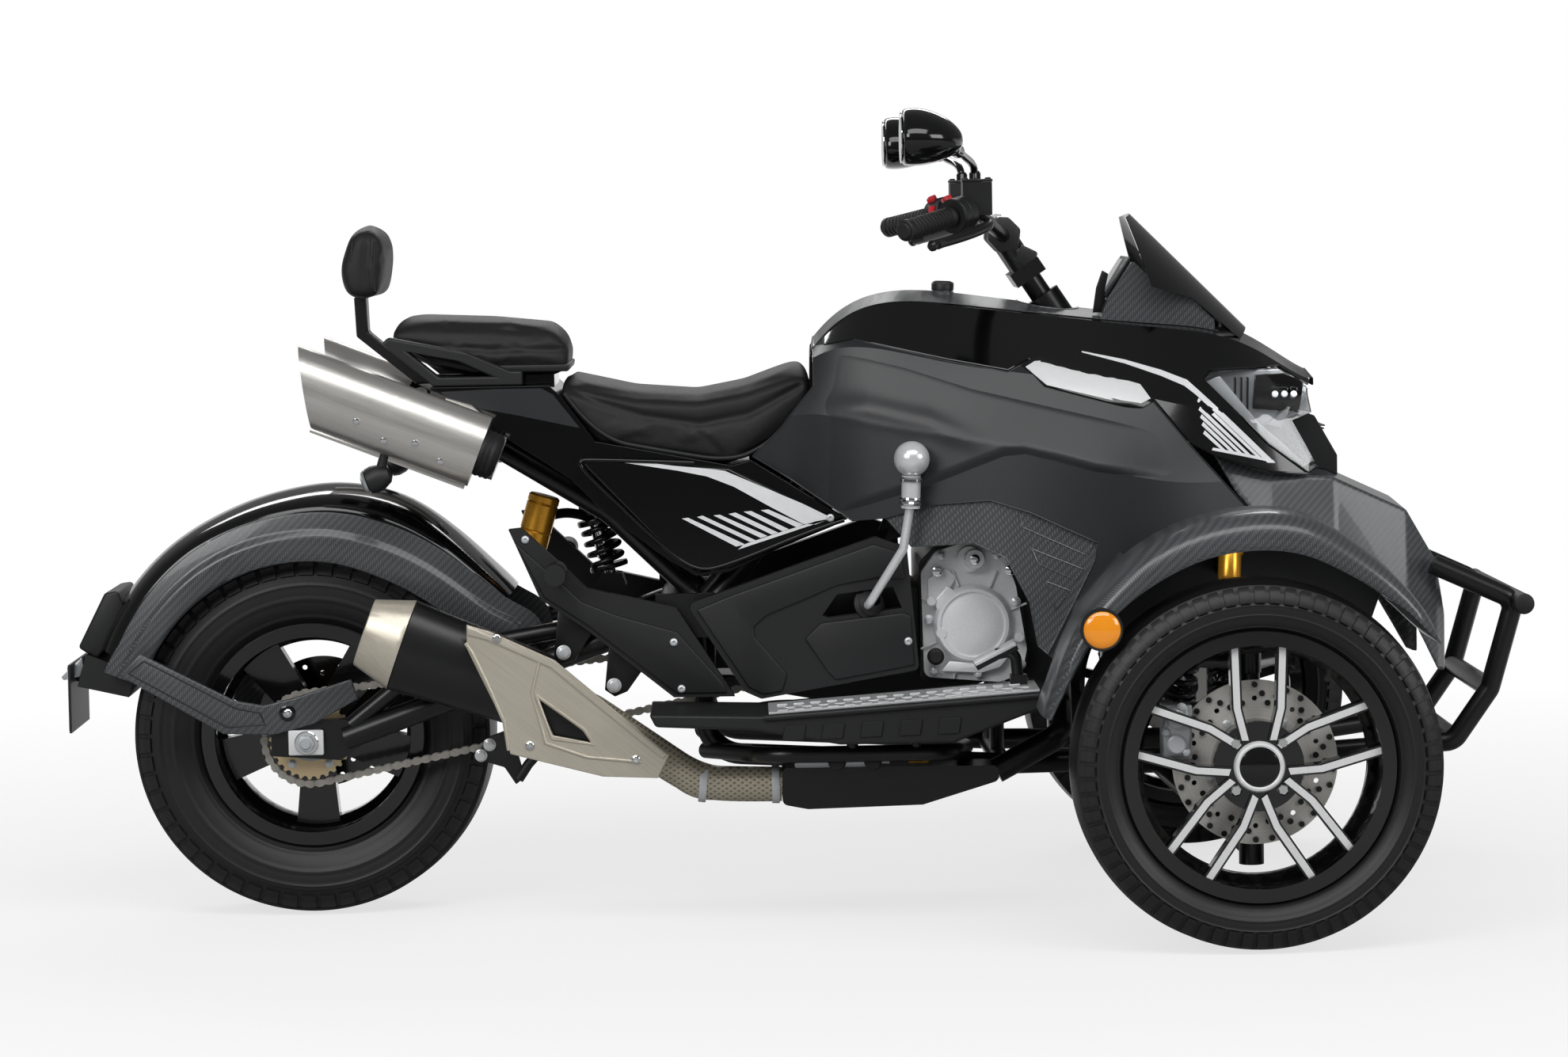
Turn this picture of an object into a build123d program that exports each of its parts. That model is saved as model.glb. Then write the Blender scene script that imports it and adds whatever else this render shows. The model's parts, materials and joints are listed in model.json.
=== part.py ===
from build123d import *
import math
import os

# Reverse motor trike: two steered front wheels, one chain-driven rear wheel.
# X points forward, Y to the rider's left and Z up. The origin is on the floor, under the middle of the
# machine. All sizes are in millimetres.

# Wheels and stance
WHEELBASE = 1465.0
TRACK = 1120.0
REAR_AXLE_X = -773.0
# Every piece is drawn at the wheelbase of the drawing; station() stretches the floor part for another one
DRAWN_WHEELBASE = 1465.0
FRONT_AXLE_X = REAR_AXLE_X + DRAWN_WHEELBASE
STRETCH_FROM = -265.0
STRETCH_TO = 150.0
FRONT_TYRE_OD = 562.0
FRONT_TYRE_WIDTH = 165.0
FRONT_RIM_D = 381.0
REAR_TYRE_OD = 584.0
REAR_TYRE_WIDTH = 205.0
REAR_RIM_D = 330.0
RIM_FLANGE = 14.0
RIM_LIP = 8.0
RIM_WALL = 7.0
FRONT_Z = FRONT_TYRE_OD / 2
REAR_Z = REAR_TYRE_OD / 2
FIT = 0.3
RUNNING = 0.05
AXLE_R = 9.0
REAR_HUB_Y = 60.0
REAR_DISC_Y = 112.0
REAR_DISC_R = 108.0

# Front hub, brake and steering
LUG_PCD = 100.0
LUG_COUNT = 4
HUB_R = 33.0
DISC_R = 125.0
DISC_T = 5.0
DISC_GAP = 5.0
KINGPIN_INSET = 60.0
KINGPIN_Y = TRACK / 2 - KINGPIN_INSET
STEER_ARM = 85.0
STEER_DEG = 30.0
COLUMN_RAKE = 33.5
COLUMN_X = 436.0
COLUMN_Z = 948.0
HEAD_TOP = 36.0
YOKE_UP = 82.0
STEM_R = 18.0
BAR_R = 11.1
TIE_ROD_R = 8.0
TIE_NECK_R = 5.0
TIE_NECK = 24.0
EYE_R = 15.0
STEER_BOX_Z = 470.0
TIE_Z = FRONT_Z + 20

# Bodywork
SKIN = 8.0
SEAM = 3.0
SIDE_REACH = 420.0

# Frame tubes
RAIL_R = 17.0
TUBE_R = 13.0

# Final drive
CHAIN_PITCH = 15.875
CHAIN_Y = -130.0
REAR_TEETH = 29
FRONT_TEETH = 13
DRIVE_X = -30.0
DRIVE_Z = 405.0
PIVOT_X = -187.0
PIVOT_Z = 485.0
PIVOT_PLATE_Y = -192.0
ARM_Y = -172.0

# Dampers and the places they are held
SHOCK_TOP = (-318.0, 0.0, 648.0)
SHOCK_FOOT = (-287.5, 0.0, 527.0)
TAIL_CROSS = (-295.0, 668.0)
TAIL_SIDE_Y = 148.0
SHOCK_TOP_Y = -245.0
FRONT_SHOCK_TOP_Z = 590.0
FRONT_SHOCK_FOOT = (FRONT_AXLE_X - 30, -395.0, 214.0)
ARM_PIVOTS_LOW = (FRONT_AXLE_X - 118, FRONT_AXLE_X + 40)
ARM_PIVOTS_HIGH = (FRONT_AXLE_X - 130, FRONT_AXLE_X + 90)

# Engine seat, footboard and its posts
ENGINE_FOOT_Z = 366.0
FOOT_UNDER_Z = 298.0
OUTRIGGER_Z = 276.0
FOOT_REAR = (-52.0, 345.0)
FOOT_MID = (60.0, 352.0)
FOOT_FRONT = (400.0, 376.0)
TREAD_T = 3.6
POST_X = (90.0, 190.0)


def both(shape):
    """A right-hand piece together with its mirror image on the left."""
    return Compound(children=[*solids_of(shape), *solids_of(mirror(shape, about=Plane.XZ))])


def solids_of(shape):
    return list(shape.solids())


def station(x):
    """Where a drawn x lies at this wheelbase: the tail stays, the nose moves and the floor stretches."""
    share = (x - STRETCH_FROM) / (STRETCH_TO - STRETCH_FROM)
    return x + (WHEELBASE - DRAWN_WHEELBASE) * min(max(share, 0.0), 1.0)


def spot(x, y, z):
    """A drawn point at its place."""
    return Vector(station(x), y, z)


def slab(points, y_low, y_high, radius=0.0):
    """A drawn side-view outline of (x, z) points, extruded across the machine."""
    return plate([(station(x), z) for x, z in points], y_low, y_high, radius)


def plate(points, y_low, y_high, radius=0.0):
    """A side-view outline at its place, extruded across the machine."""
    corners = [(x, y_low, z) for x, z in points]
    if radius:
        wire = FilletPolyline(*corners, radius=radius, close=True)
    else:
        wire = Polyline(*corners, close=True)
    return extrude(make_face(wire), amount=y_high - y_low, dir=(0, 1, 0))


def tube(points, radius, bend=0.0):
    """A round bar along straight runs, with bends of one radius where it is given."""
    run = [spot(*point) for point in points]
    path = FilletPolyline(*run, radius=bend) if bend else Polyline(*run)
    start = Plane(origin=path @ 0, z_dir=path % 0)
    return sweep(start * Circle(radius), path=path, transition=Transition.ROUND)


def rod(start, end, radius):
    """A straight round bar between two points."""
    first, last = spot(*start), spot(*end)
    return extrude(Plane(origin=first, z_dir=last - first) * Circle(radius), amount=(last - first).length)


def turned(profile):
    """A ring about the Y axis from an outline on the YZ plane."""
    return revolve(make_face(profile), axis=Axis.Y)


def wheel_outline(points):
    return Polyline(*[(0, y, r) for y, r in points], close=True)


def half_loft(sections, ruled=False):
    """A half body, smooth or with flat facets: each section is x and its (half width, height) points."""
    faces = []
    for x, outline in sections:
        faces.append(make_face(Polyline(*[(station(x), -y, z) for y, z in outline], close=True)))
    return loft(faces, ruled=ruled)


def hollowed(half):
    """An open skin: the half body less itself, moved inwards and down by the skin."""
    return half - half.moved(Location((0, SKIN, -SKIN)))


# Tyres and wheels

def tyre(outer_d, width, rim_d):
    """A solid road tyre section: flat tread crown, round shoulders and bulged side walls."""
    outer = outer_d / 2
    seat = rim_d / 2 + FIT
    bead = width / 2 - 22
    flange = rim_d / 2 + RIM_FLANGE + 1
    widest = flange + 0.40 * (outer - flange)
    shoulder = outer - 11
    edge = width / 2 - 10
    edges = [
        Line((0, -bead, seat), (0, -bead, flange)),
        ThreePointArc((0, -bead, flange), (0, -width / 2, widest), (0, -edge, shoulder)),
        ThreePointArc((0, -edge, shoulder), (0, 0, outer), (0, edge, shoulder)),
        ThreePointArc((0, edge, shoulder), (0, width / 2, widest), (0, bead, flange)),
        Line((0, bead, flange), (0, bead, seat)),
        Line((0, bead, seat), (0, -bead, seat)),
    ]
    return turned(Wire(edges))


def rim_barrel(rim_d, width):
    """A one-piece rim ring with a flange at each side and a dropped centre."""
    seat = rim_d / 2
    bead = width / 2 - 22 - FIT
    lip = bead + FIT + FIT + RIM_LIP
    inner = seat - RIM_WALL
    drop = inner - 12
    return turned(wheel_outline([
        (-lip, inner), (-lip, seat + RIM_FLANGE), (-bead - 2 * FIT, seat + RIM_FLANGE), (-bead - 2 * FIT, seat),
        (bead + 2 * FIT, seat), (bead + 2 * FIT, seat + RIM_FLANGE), (lip, seat + RIM_FLANGE), (lip, inner),
        (bead * 0.6, inner), (bead * 0.4, drop), (-bead * 0.1, drop), (-bead * 0.3, inner),
    ]))


# The bare spoke line of one twin-spoke pair: radius from the axle, and sideways from the pair's middle
SPOKE_LINE = [(40.0, 21.0), (88.0, 33.0), (FRONT_RIM_D / 2 - RIM_WALL + 1, 36.0)]
SPOKE_PAIRS = 5
SPOKE_HALF = 8.0
SPOKE_DEPTH = 26.0
SPOKE_FACE_Y = 58.0
HUB_DEPTH = 40.0
HUB_FACE_R = 68.0
HUB_CAP_R = 29.0


def spoke(side):
    """One bent spoke of a pair, seen from outside, as a flat bar in the wheel's own frame."""
    points = [(side * across, along) for along, across in SPOKE_LINE]
    left = [(x - SPOKE_HALF, r) for x, r in points]
    right = [(x + SPOKE_HALF, r) for x, r in reversed(points)]
    face = make_face(Polyline(*[(x, -SPOKE_FACE_Y, z) for x, z in left + right], close=True))
    return extrude(face, amount=SPOKE_DEPTH, dir=(0, 1, 0))


def front_rim():
    """A right-hand cast wheel, outer face towards -Y, with lug holes through its hub."""
    body = rim_barrel(FRONT_RIM_D, FRONT_TYRE_WIDTH)
    hub_y = -SPOKE_FACE_Y + 6
    hub = extrude(Plane(origin=(0, hub_y, 0), z_dir=(0, 1, 0)) * Circle(HUB_FACE_R), amount=HUB_DEPTH)
    cap = extrude(Plane(origin=(0, hub_y, 0), z_dir=(0, -1, 0)) * Circle(HUB_CAP_R), amount=8)
    arms = []
    for pair in range(SPOKE_PAIRS):
        for side in (-1, 1):
            arms.append(Rot(0, pair * 360 / SPOKE_PAIRS, 0) * spoke(side))
    body = body + [hub, cap, *arms]
    for lug in range(LUG_COUNT):
        place = Rot(0, 45 + lug * 360 / LUG_COUNT, 0) * Pos(0, hub_y - 1, LUG_PCD / 2)
        body -= place * extrude(Plane(origin=(0, 0, 0), z_dir=(0, 1, 0)) * Circle(9), amount=14)
    return body


HUB_BACK_Y = -SPOKE_FACE_Y + 6 + HUB_DEPTH
DISC_Y = HUB_BACK_Y + 16


def brake_disc(radius, bore, thickness):
    """A drilled disc about the Y axis, its middle on the XZ plane."""
    ring = extrude(Plane(origin=(0, -thickness / 2, 0), z_dir=(0, 1, 0)) * (Circle(radius) - Circle(bore)),
                   amount=thickness)
    holes = 20
    drilled = []
    for n in range(holes):
        r = radius - (14 if n % 2 else 28)
        turn = Rot(0, n * 360 / holes, 0) * Pos(0, -thickness, r)
        drilled.append(turn * extrude(Plane(origin=(0, 0, 0), z_dir=(0, 1, 0)) * Circle(4), amount=2 * thickness))
    return ring - drilled


def front_disc():
    """The disc with the hat that carries it on the back of the hub."""
    hat = extrude(Plane(origin=(0, HUB_BACK_Y, 0), z_dir=(0, 1, 0)) * Circle(62), amount=DISC_Y - HUB_BACK_Y)
    arms = Pos(0, DISC_Y, 0) * extrude(Plane(origin=(0, -2, 0), z_dir=(0, 1, 0)) * Circle(DISC_R - 40), amount=4)
    nose = extrude(Plane(origin=(0, DISC_Y, 0), z_dir=(0, 1, 0)) * Circle(24), amount=DISC_T / 2 + DISC_GAP - FIT)
    return Pos(0, DISC_Y, 0) * brake_disc(DISC_R, DISC_R - 41, DISC_T) + [hat, arms, nose]


def rear_rim():
    """A black cast wheel with five broad flat spokes, its hub carrying the brake disc on the left."""
    spokes = 5
    body = rim_barrel(REAR_RIM_D, REAR_TYRE_WIDTH)
    hub = extrude(Plane(origin=(0, -REAR_HUB_Y, 0), z_dir=(0, 1, 0)) * Circle(45), amount=2 * REAR_HUB_Y)
    hat = extrude(Plane(origin=(0, REAR_HUB_Y, 0), z_dir=(0, 1, 0)) * Circle(50), amount=REAR_DISC_Y - REAR_HUB_Y)
    disc = Pos(0, REAR_DISC_Y, 0) * brake_disc(REAR_DISC_R, 40, DISC_T)
    parts = [hub, hat, disc]
    reach = REAR_RIM_D / 2 - RIM_WALL + 1
    for n in range(spokes):
        face = make_face(Polyline((-24, -18, 38), (-36, -18, reach), (36, -18, reach), (24, -18, 38), close=True))
        parts.append(Rot(0, 180 + n * 360 / spokes, 0) * extrude(face, amount=36, dir=(0, 1, 0)))
    return body + parts - axle_bore()


def axle_bore():
    return extrude(Plane(origin=(0, -200, 0), z_dir=(0, 1, 0)) * Circle(AXLE_R + RUNNING), amount=400)


SPROCKET_T = 7.0


def pitch_radius(teeth):
    return CHAIN_PITCH / (2 * math.sin(math.pi / teeth))


def rear_sprocket():
    """A chain wheel inside the chain's loop; its low teeth stay under the rollers, so it can turn freely."""
    tip = pitch_radius(REAR_TEETH) - 7
    points = []
    for n in range(REAR_TEETH):
        for share, r in ((0.0, tip - 5), (0.35, tip - 5), (0.55, tip), (0.8, tip)):
            angle = 2 * math.pi * (n + share) / REAR_TEETH
            points.append((r * math.sin(angle), CHAIN_Y - SPROCKET_T / 2, r * math.cos(angle)))
    plate = extrude(make_face(Polyline(*points, close=True)), amount=SPROCKET_T, dir=(0, 1, 0))
    boss = extrude(Plane(origin=(0, CHAIN_Y, 0), z_dir=(0, 1, 0)) * Circle(38), amount=-REAR_HUB_Y - CHAIN_Y)
    return plate + boss - axle_bore()


def at_rear(shape):
    return Pos(REAR_AXLE_X, 0, REAR_Z) * shape


def at_front(shape):
    """A right-hand wheel piece at its place."""
    return Pos(spot(FRONT_AXLE_X, -TRACK / 2, FRONT_Z)) * shape


# Chain: a loop of link plates round both sprockets

def chain():
    """The closed drive chain as one solid loop, its outline waisted between the pins."""
    big, small = pitch_radius(REAR_TEETH), pitch_radius(FRONT_TEETH)
    drive_x = station(DRIVE_X)
    dx, dz = drive_x - REAR_AXLE_X, DRIVE_Z - REAR_Z
    span = math.hypot(dx, dz)
    slope = math.atan2(dz, dx)
    spread = math.acos((big - small) / span)
    run = math.sqrt(span ** 2 - (big - small) ** 2)
    arcs = [big * (2 * math.pi - 2 * spread), run, small * 2 * spread, run]
    links = round(sum(arcs) / CHAIN_PITCH / 2) * 2

    def point(distance, offset):
        """A place along the loop, and so far out of its middle line."""
        at = distance % sum(arcs)
        if at < arcs[0]:
            angle = slope + spread + at / big
            return REAR_AXLE_X + (big + offset) * math.cos(angle), REAR_Z + (big + offset) * math.sin(angle)
        at -= arcs[0]
        if at < arcs[1]:
            angle = slope - spread
            x0, z0 = REAR_AXLE_X + (big + offset) * math.cos(angle), REAR_Z + (big + offset) * math.sin(angle)
            along = angle + math.pi / 2
            return x0 + at * math.cos(along), z0 + at * math.sin(along)
        at -= arcs[1]
        if at < arcs[2]:
            angle = slope - spread + at / small
            return drive_x + (small + offset) * math.cos(angle), DRIVE_Z + (small + offset) * math.sin(angle)
        at -= arcs[2]
        angle = slope + spread
        x0, z0 = drive_x + (small + offset) * math.cos(angle), DRIVE_Z + (small + offset) * math.sin(angle)
        along = angle + math.pi / 2
        return x0 + at * math.cos(along), z0 + at * math.sin(along)

    def outline(offset, sign):
        """A wide point at each pin and a narrow one between pins."""
        points = []
        step = sum(arcs) / links
        for n in range(links):
            for share, depth in ((0.0, 1.0), (0.5, 0.6)):
                points.append(point((n + share) * step, sign * offset * depth))
        return points

    half = 6.8
    outer = plate(outline(half, 1), CHAIN_Y - 9, CHAIN_Y + 9)
    inner = plate(outline(half, -1), CHAIN_Y - 9, CHAIN_Y + 9)
    return outer - inner


# Frame, swing arm and rear suspension

def frame(body_half_solid):
    """A welded tube frame: bottom rails, spine, down tubes, pivot plates, tail tubes and outriggers."""
    up_x = PIVOT_X + 47
    half = Part() + [
        tube([(up_x, -165, PIVOT_Z + 20), (up_x, -165, 262), (330, -165, 236), (760, -120, 236)], RAIL_R, 60),
        tube([(up_x, -150, PIVOT_Z + 13), (-290, -122, 642), (-620, -105, 842)], TUBE_R, 80),
        tube([(up_x, -135, PIVOT_Z), (40, -100, 690), (430, -60, 850)], RAIL_R, 80),
        tube([(430, -60, 850), (690, -110, 520), (760, -120, 236)], RAIL_R, 60),
        rod((FRONT_AXLE_X - 2, -112, 520), (FRONT_AXLE_X - 2, SHOCK_TOP_Y + 33, FRONT_SHOCK_TOP_Z + 26), TUBE_R),
        tube([(up_x, -150, 264), (-40, -330, OUTRIGGER_Z), (250, -330, OUTRIGGER_Z), (275, -150, 262)], TUBE_R, 60),
        slab([(-215, 450), (-215, 520), (-120, 520), (-120, 450)], PIVOT_PLATE_Y - 12, PIVOT_PLATE_Y),
        Pos(spot(up_x, -180, PIVOT_Z)) * Box(34, 40, 60),
        Pos(spot(FRONT_AXLE_X, SHOCK_TOP_Y + 10, FRONT_SHOCK_TOP_Z + 26)) * Box(46, 60, 16),
    ]
    for x, side in zip(ARM_PIVOTS_LOW, (-1, 1)):
        half += Pos(spot(x + side * 21, -150, 236)) * Box(6, 96, 44)
    for x, side in zip(ARM_PIVOTS_HIGH, (-1, 1)):
        half += Pos(spot(x + side * 21, -140, 400)) * Box(6, 90, 40)
    half += rod((ARM_PIVOTS_HIGH[0] - 24, -112, 400), (ARM_PIVOTS_HIGH[1] + 24, -112, 400), TUBE_R)
    under_skin = body_half_solid.moved(Location((0, SKIN + FIT, -SKIN - FIT)))
    half += rod((430, -75, 850), (430, -75, 1000), 9) & under_skin
    for x in POST_X:
        half += rod((x, -330, OUTRIGGER_Z), (x, -330, FOOT_UNDER_Z), 9)
    across = [
        across_at(*TAIL_CROSS, TAIL_SIDE_Y, TUBE_R),
        across_at(-600, 829, 118, TUBE_R),
        across_at(up_x, 300, 165, RAIL_R),
        across_at(330, 236, 165, RAIL_R),
        across_at(760, 236, 135, RAIL_R),
        across_at(690, 520, 110, RAIL_R),
        across_at(430, 850, 75, RAIL_R),
    ]
    box = Pos(spot(FRONT_AXLE_X, 0, STEER_BOX_Z + 22)) * Box(70, 80, 44)
    posts = [rod((330, y, 236), (330, y, ENGINE_FOOT_Z), 12) for y in (-70, 70)]
    lug = [(-340, 634), (-340, 660), (-310, 684), (-284, 676), (-296, 634)]
    ears = [slab(lug, y, y + 5) for y in (-21, 16)]
    head = rod(column_point(-60), column_point(HEAD_TOP), 30)
    head_arm = rod((430, 0, 850), column_point(-20), 22)
    bore = rod(column_point(-80), column_point(80), STEM_R + RUNNING)
    return half + mirror(half, about=Plane.XZ) + across + [*ears, *posts, box, head, head_arm] - bore


def across_at(x, z, half_width, radius):
    """A cross tube through the middle plane."""
    return rod((x, -half_width, z), (x, half_width, z), radius)


def column_point(along):
    """A place on the steering column's axis, measured up from its lower yoke."""
    rake = math.radians(COLUMN_RAKE)
    return COLUMN_X - along * math.sin(rake), 0.0, COLUMN_Z + along * math.cos(rake)


def swing_arm():
    """Two arms on a pivot barrel, with axle plates, upper braces, a damper lug and the wheel spindle."""
    path = [(REAR_AXLE_X + 60, REAR_Z + 4), (-420, 402), (PIVOT_X, PIVOT_Z)]
    arm = tube([(x, ARM_Y, z) for x, z in path], 20, 120)
    cheek = slab([(-830, 270), (-830, 318), (-800, 330), (-690, 326), (-690, 282), (-720, 262)], ARM_Y - 9, ARM_Y + 9)
    brace = tube([(REAR_AXLE_X + 70, ARM_Y, REAR_Z + 25), (-560, ARM_Y, 430), (-330, ARM_Y, 470)], 14, 60)
    block = Pos(REAR_AXLE_X, ARM_Y - 13, REAR_Z) * Box(44, 8, 40)
    nut = rod((REAR_AXLE_X, ARM_Y - 17, REAR_Z), (REAR_AXLE_X, ARM_Y - 27, REAR_Z), 15)
    half = Part() + [arm, cheek, brace, block, nut]
    barrel = rod((PIVOT_X, PIVOT_PLATE_Y, PIVOT_Z), (PIVOT_X, -PIVOT_PLATE_Y, PIVOT_Z), 26)
    cross = rod((-330, ARM_Y, 462), (-330, -ARM_Y, 462), 18)
    spindle = rod((REAR_AXLE_X, ARM_Y, REAR_Z), (REAR_AXLE_X, -ARM_Y, REAR_Z), AXLE_R)
    lug = [(-345, 455), (-306, 540), (-272, 540), (-265, 520), (-315, 455)]
    ears = [slab(lug, y, y + 5) for y in (-21, 16)]
    return half + mirror(half, about=Plane.XZ) + [barrel, cross, spindle, *ears]


def coil_over(top, foot, eye, spring_from, spring_to, turns, wire):
    """A damper with a coil round it: one turned profile between two eyes."""
    top, foot = spot(*top), spot(*foot)
    length = (foot - top).length
    collar = wire * 5.4
    outline = [(0, eye - 4), (wire * 2.2, eye - 4), (wire * 2.2, spring_from - 10), (collar, spring_from - 10),
               (collar, spring_from)]
    pitch = (spring_to - spring_from) / turns
    for n in range(turns):
        start = spring_from + n * pitch
        for share, radius in ((0.2, 3.4), (0.4, 5.0), (0.6, 5.0), (0.8, 3.4)):
            outline.append((wire * radius, start + share * pitch))
    outline += [(collar, spring_to), (collar, spring_to + 8), (wire * 1.6, spring_to + 8),
                (wire * 1.6, length - eye + 4), (0, length - eye + 4)]
    along = Plane(origin=top, z_dir=foot - top)
    body = revolve(make_face(Polyline(*[(r, 0, d) for r, d in outline], close=True)), axis=Axis.Z)
    return along * body


def rear_shock():
    """The rear damper between the tail's cross tube and the swing arm, with its gas can alongside."""
    body = coil_over(SHOCK_TOP, SHOCK_FOOT, 14, 30, 96, 4, 6)
    eyes = [rod((x, -16, z), (x, 16, z), 13) for x, _, z in (SHOCK_TOP, SHOCK_FOOT)]
    can = rod((-393, -70, 668), (-416, -70, 590), 26)
    link = rod((-404, -70, 630), (-318, -8, 622), 8)
    return body + [*eyes, can, link]


# Engine

def engine():
    """Crankcase, inclined barrel and gearbox as one plain mass in the cradle."""
    outline = [(205, ENGINE_FOOT_Z), (205, 560), (235, 590), (330, 585), (368, 530), (378, 400), (365, ENGINE_FOOT_Z)]
    case = slab(outline, -150, 170, 14)
    gearbox = slab([(-70, 350), (-70, 450), (0, 500), (210, 520), (210, 372)], GEARBOX_RIGHT_Y, GEARBOX_LEFT_Y, 18)
    barrel = slab([(235, 580), (300, 690), (400, 640), (340, 520)], -85, 85)
    return case + gearbox + barrel


COVER_X, COVER_Z = 288.0, 462.0


def engine_cover():
    """The bright right-hand crankcase cover: a rimmed plate, a round dome and a top breather boss."""
    outline = [(210, 378), (207, 545), (232, 578), (290, 596), (340, 575), (358, 520), (374, 420), (366, 380),
               (330, 368)]
    face = slab(outline, -176, -150 - FIT, 14)
    seat = Plane(origin=spot(COVER_X, -170, COVER_Z), z_dir=(0, -1, 0))
    dome = extrude(seat * Circle(62), amount=16) + extrude(seat * Circle(50), amount=24)
    boss = rod((284, -190, 566), (284, -170, 566), 20)
    window = slab([(218, 500), (218, 536), (248, 552), (262, 536), (240, 500)], -184, -170, 6)
    neck = rod((228, -188, 412), (228, -170, 412), 12)
    bolts = [rod((x, -182, z), (x, -170, z), 8) for x, z in
             ((226, 388), (218, 470), (238, 572), (328, 572), (357, 496), (364, 396), (296, 382))]
    return face + [dome, boss, window, neck, *bolts]


# Bodywork, cut from two smooth half bodies by side-view outlines

# Columns: x, then half width and height at the middle, console edge, seam, crease and hem
BODY_SECTIONS = [
    (-70, (0, 890), (90, 880), (130, 868), (160, 790), (150, 640)),
    (45, (0, 918), (98, 906), (150, 890), (188, 800), (178, 630)),
    (110, (0, 972), (105, 958), (178, 905), (216, 790), (215, 600)),
    (230, (0, 989), (112, 970), (208, 884), (252, 768), (262, 560)),
    (350, (0, 974), (115, 956), (236, 864), (288, 750), (304, 470)),
    (480, (0, 957), (122, 940), (252, 842), (312, 716), (322, 380)),
    (600, (0, 945), (140, 926), (254, 812), (298, 690), (312, 440)),
    (725, (0, 920), (140, 900), (242, 798), (262, 690), (268, 560)),
    (842, (0, 852), (118, 838), (206, 790), (214, 700), (214, 600)),
]
SIDE_PANEL = [
    (42, 905), (107, 917), (255, 881), (346, 864), (380, 880), (571, 816), (626, 747), (716, 646), (648, 616),
    (548, 562), (479, 489), (415, 385), (385, 372), (392, 408), (474, 571), (478, 598), (374, 646), (313, 665),
    (226, 658), (151, 637), (98, 632), (4, 695), (-57, 733), (-13, 776), (41, 843),
]
UPPER_COWL = [
    (60, 908.3 + FIT), (107, 917 + FIT), (255, 881 + SEAM), (346, 864 + SEAM), (380, 880 + SEAM), (573, 818),
    (629, 749), (668, 728), (756, 701), (816, 696), (752, 744), (716, 782), (655, 846), (668, 861), (784, 863),
    (830, 832), (842, 852), (842, 1000), (60, 1000),
]
HEADLAMP = [
    (657, 844), (670, 858), (783, 860), (827, 829), (826, 791), (794, 779), (834, 705), (820, 697), (756, 744),
    (719, 782),
]
LAMP_INNER = 95.0
CONSOLE_HALF = 104.0
CONSOLE_REAR = 44.0
CONSOLE_FRONT = 690.0
FILLER_X = 256.0
FILLER_R = 17.0
FILLER_TOP = 1000.0
FILLER_SIDE = [(FILLER_X - 20, 982), (FILLER_X + 20, 980), (FILLER_X + 20, FILLER_TOP), (FILLER_X - 20, FILLER_TOP)]


def body_half():
    sections = []
    for x, middle, console, seam, crease, hem in BODY_SECTIONS:
        sections.append((x, [middle, console, seam, crease, hem, (0, hem[1])]))
    return half_loft(sections)


def side_fairing(skin):
    return skin & slab(SIDE_PANEL, -SIDE_REACH, -CONSOLE_HALF)


def upper_cowl(skin):
    """The gloss half above the seam, from beside the console to the lamp."""
    side = slab(UPPER_COWL, -SIDE_REACH, -CONSOLE_HALF)
    start = CONSOLE_FRONT + SEAM
    hood = slab([(start, 1000), (start, 864), (784, 864), (842, 830), (842, 1000)], -CONSOLE_HALF, 0)
    return skin & (side + hood)


def console_cover(skin):
    """The textured strip over the tank's top, from the seat to the instruments, with the filler cap."""
    strip = skin & slab([(CONSOLE_REAR, 850), (CONSOLE_FRONT, 850), (CONSOLE_FRONT, 1000), (CONSOLE_REAR, 1000)],
                        SEAM - CONSOLE_HALF, 0)
    hole = rod(column_point(-80), column_point(80), 38)
    cap = rod((FILLER_X, 0, 960), (FILLER_X, 0, FILLER_TOP), FILLER_R) & slab(FILLER_SIDE, -FILLER_R, 0)
    return strip - hole + cap


def headlamp(half):
    """A solid lens block flush with the nose."""
    return half & slab(HEADLAMP, -SIDE_REACH, -LAMP_INNER)


# Columns: x, half width and height of the top edge, half width and height of the lower edge
APRON_SECTIONS = [
    (640, 232, 742, 258, 660),
    (760, 230, 698, 262, 625),
    (860, 220, 688, 250, 590),
    (980, 180, 632, 214, 470),
    (1030, 158, 548, 172, 375),
    (1045, 148, 462, 150, 370),
]
APRON_OUTLINE = [
    (668, 728), (756, 698), (816, 693), (860, 702), (990, 650), (1040, 560), (1045, 462), (1045, 372), (1000, 369),
    (955, 452), (935, 500), (893, 556), (868, 594), (815, 612), (760, 628), (724, 640), (700, 670),
]


def apron_half():
    sections = []
    for x, y_top, z_top, y_low, z_low in APRON_SECTIONS:
        sections.append((x, [(0, z_top + 10), (y_top, z_top), (y_low, z_low), (0, z_low)]))
    return half_loft(sections, ruled=True)


def intake(apron):
    """The black textured mouth between the lamps, over the apron."""
    outline = [(760, 784), (819, 790), (846, 780), (882, 716), (882, 680), (800, 690)]
    mouth = slab([(850, 766), (874, 722), (900, 722), (900, 766)], -70, 70)
    return slab(outline, FIT - LAMP_INNER, LAMP_INNER - FIT) - mouth - apron - mirror(apron, about=Plane.XZ)


SCREEN_TOP = Vector(562, 0, 1106)
SCREEN_TOE = Vector(728, 0, 940)
SCREEN_R = 190.0
SCREEN_T = 5.0


def screen_round(radius):
    """A long round bar whose top line is the screen's ridge, at a radius about the screen's own axis."""
    along = (SCREEN_TOE - SCREEN_TOP).normalized()
    out = Vector(-along.Z, 0, along.X)
    centre = SCREEN_TOP - out * SCREEN_R - along * 60
    return extrude(Plane(origin=spot(*centre), z_dir=along) * Circle(radius), amount=380)


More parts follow.
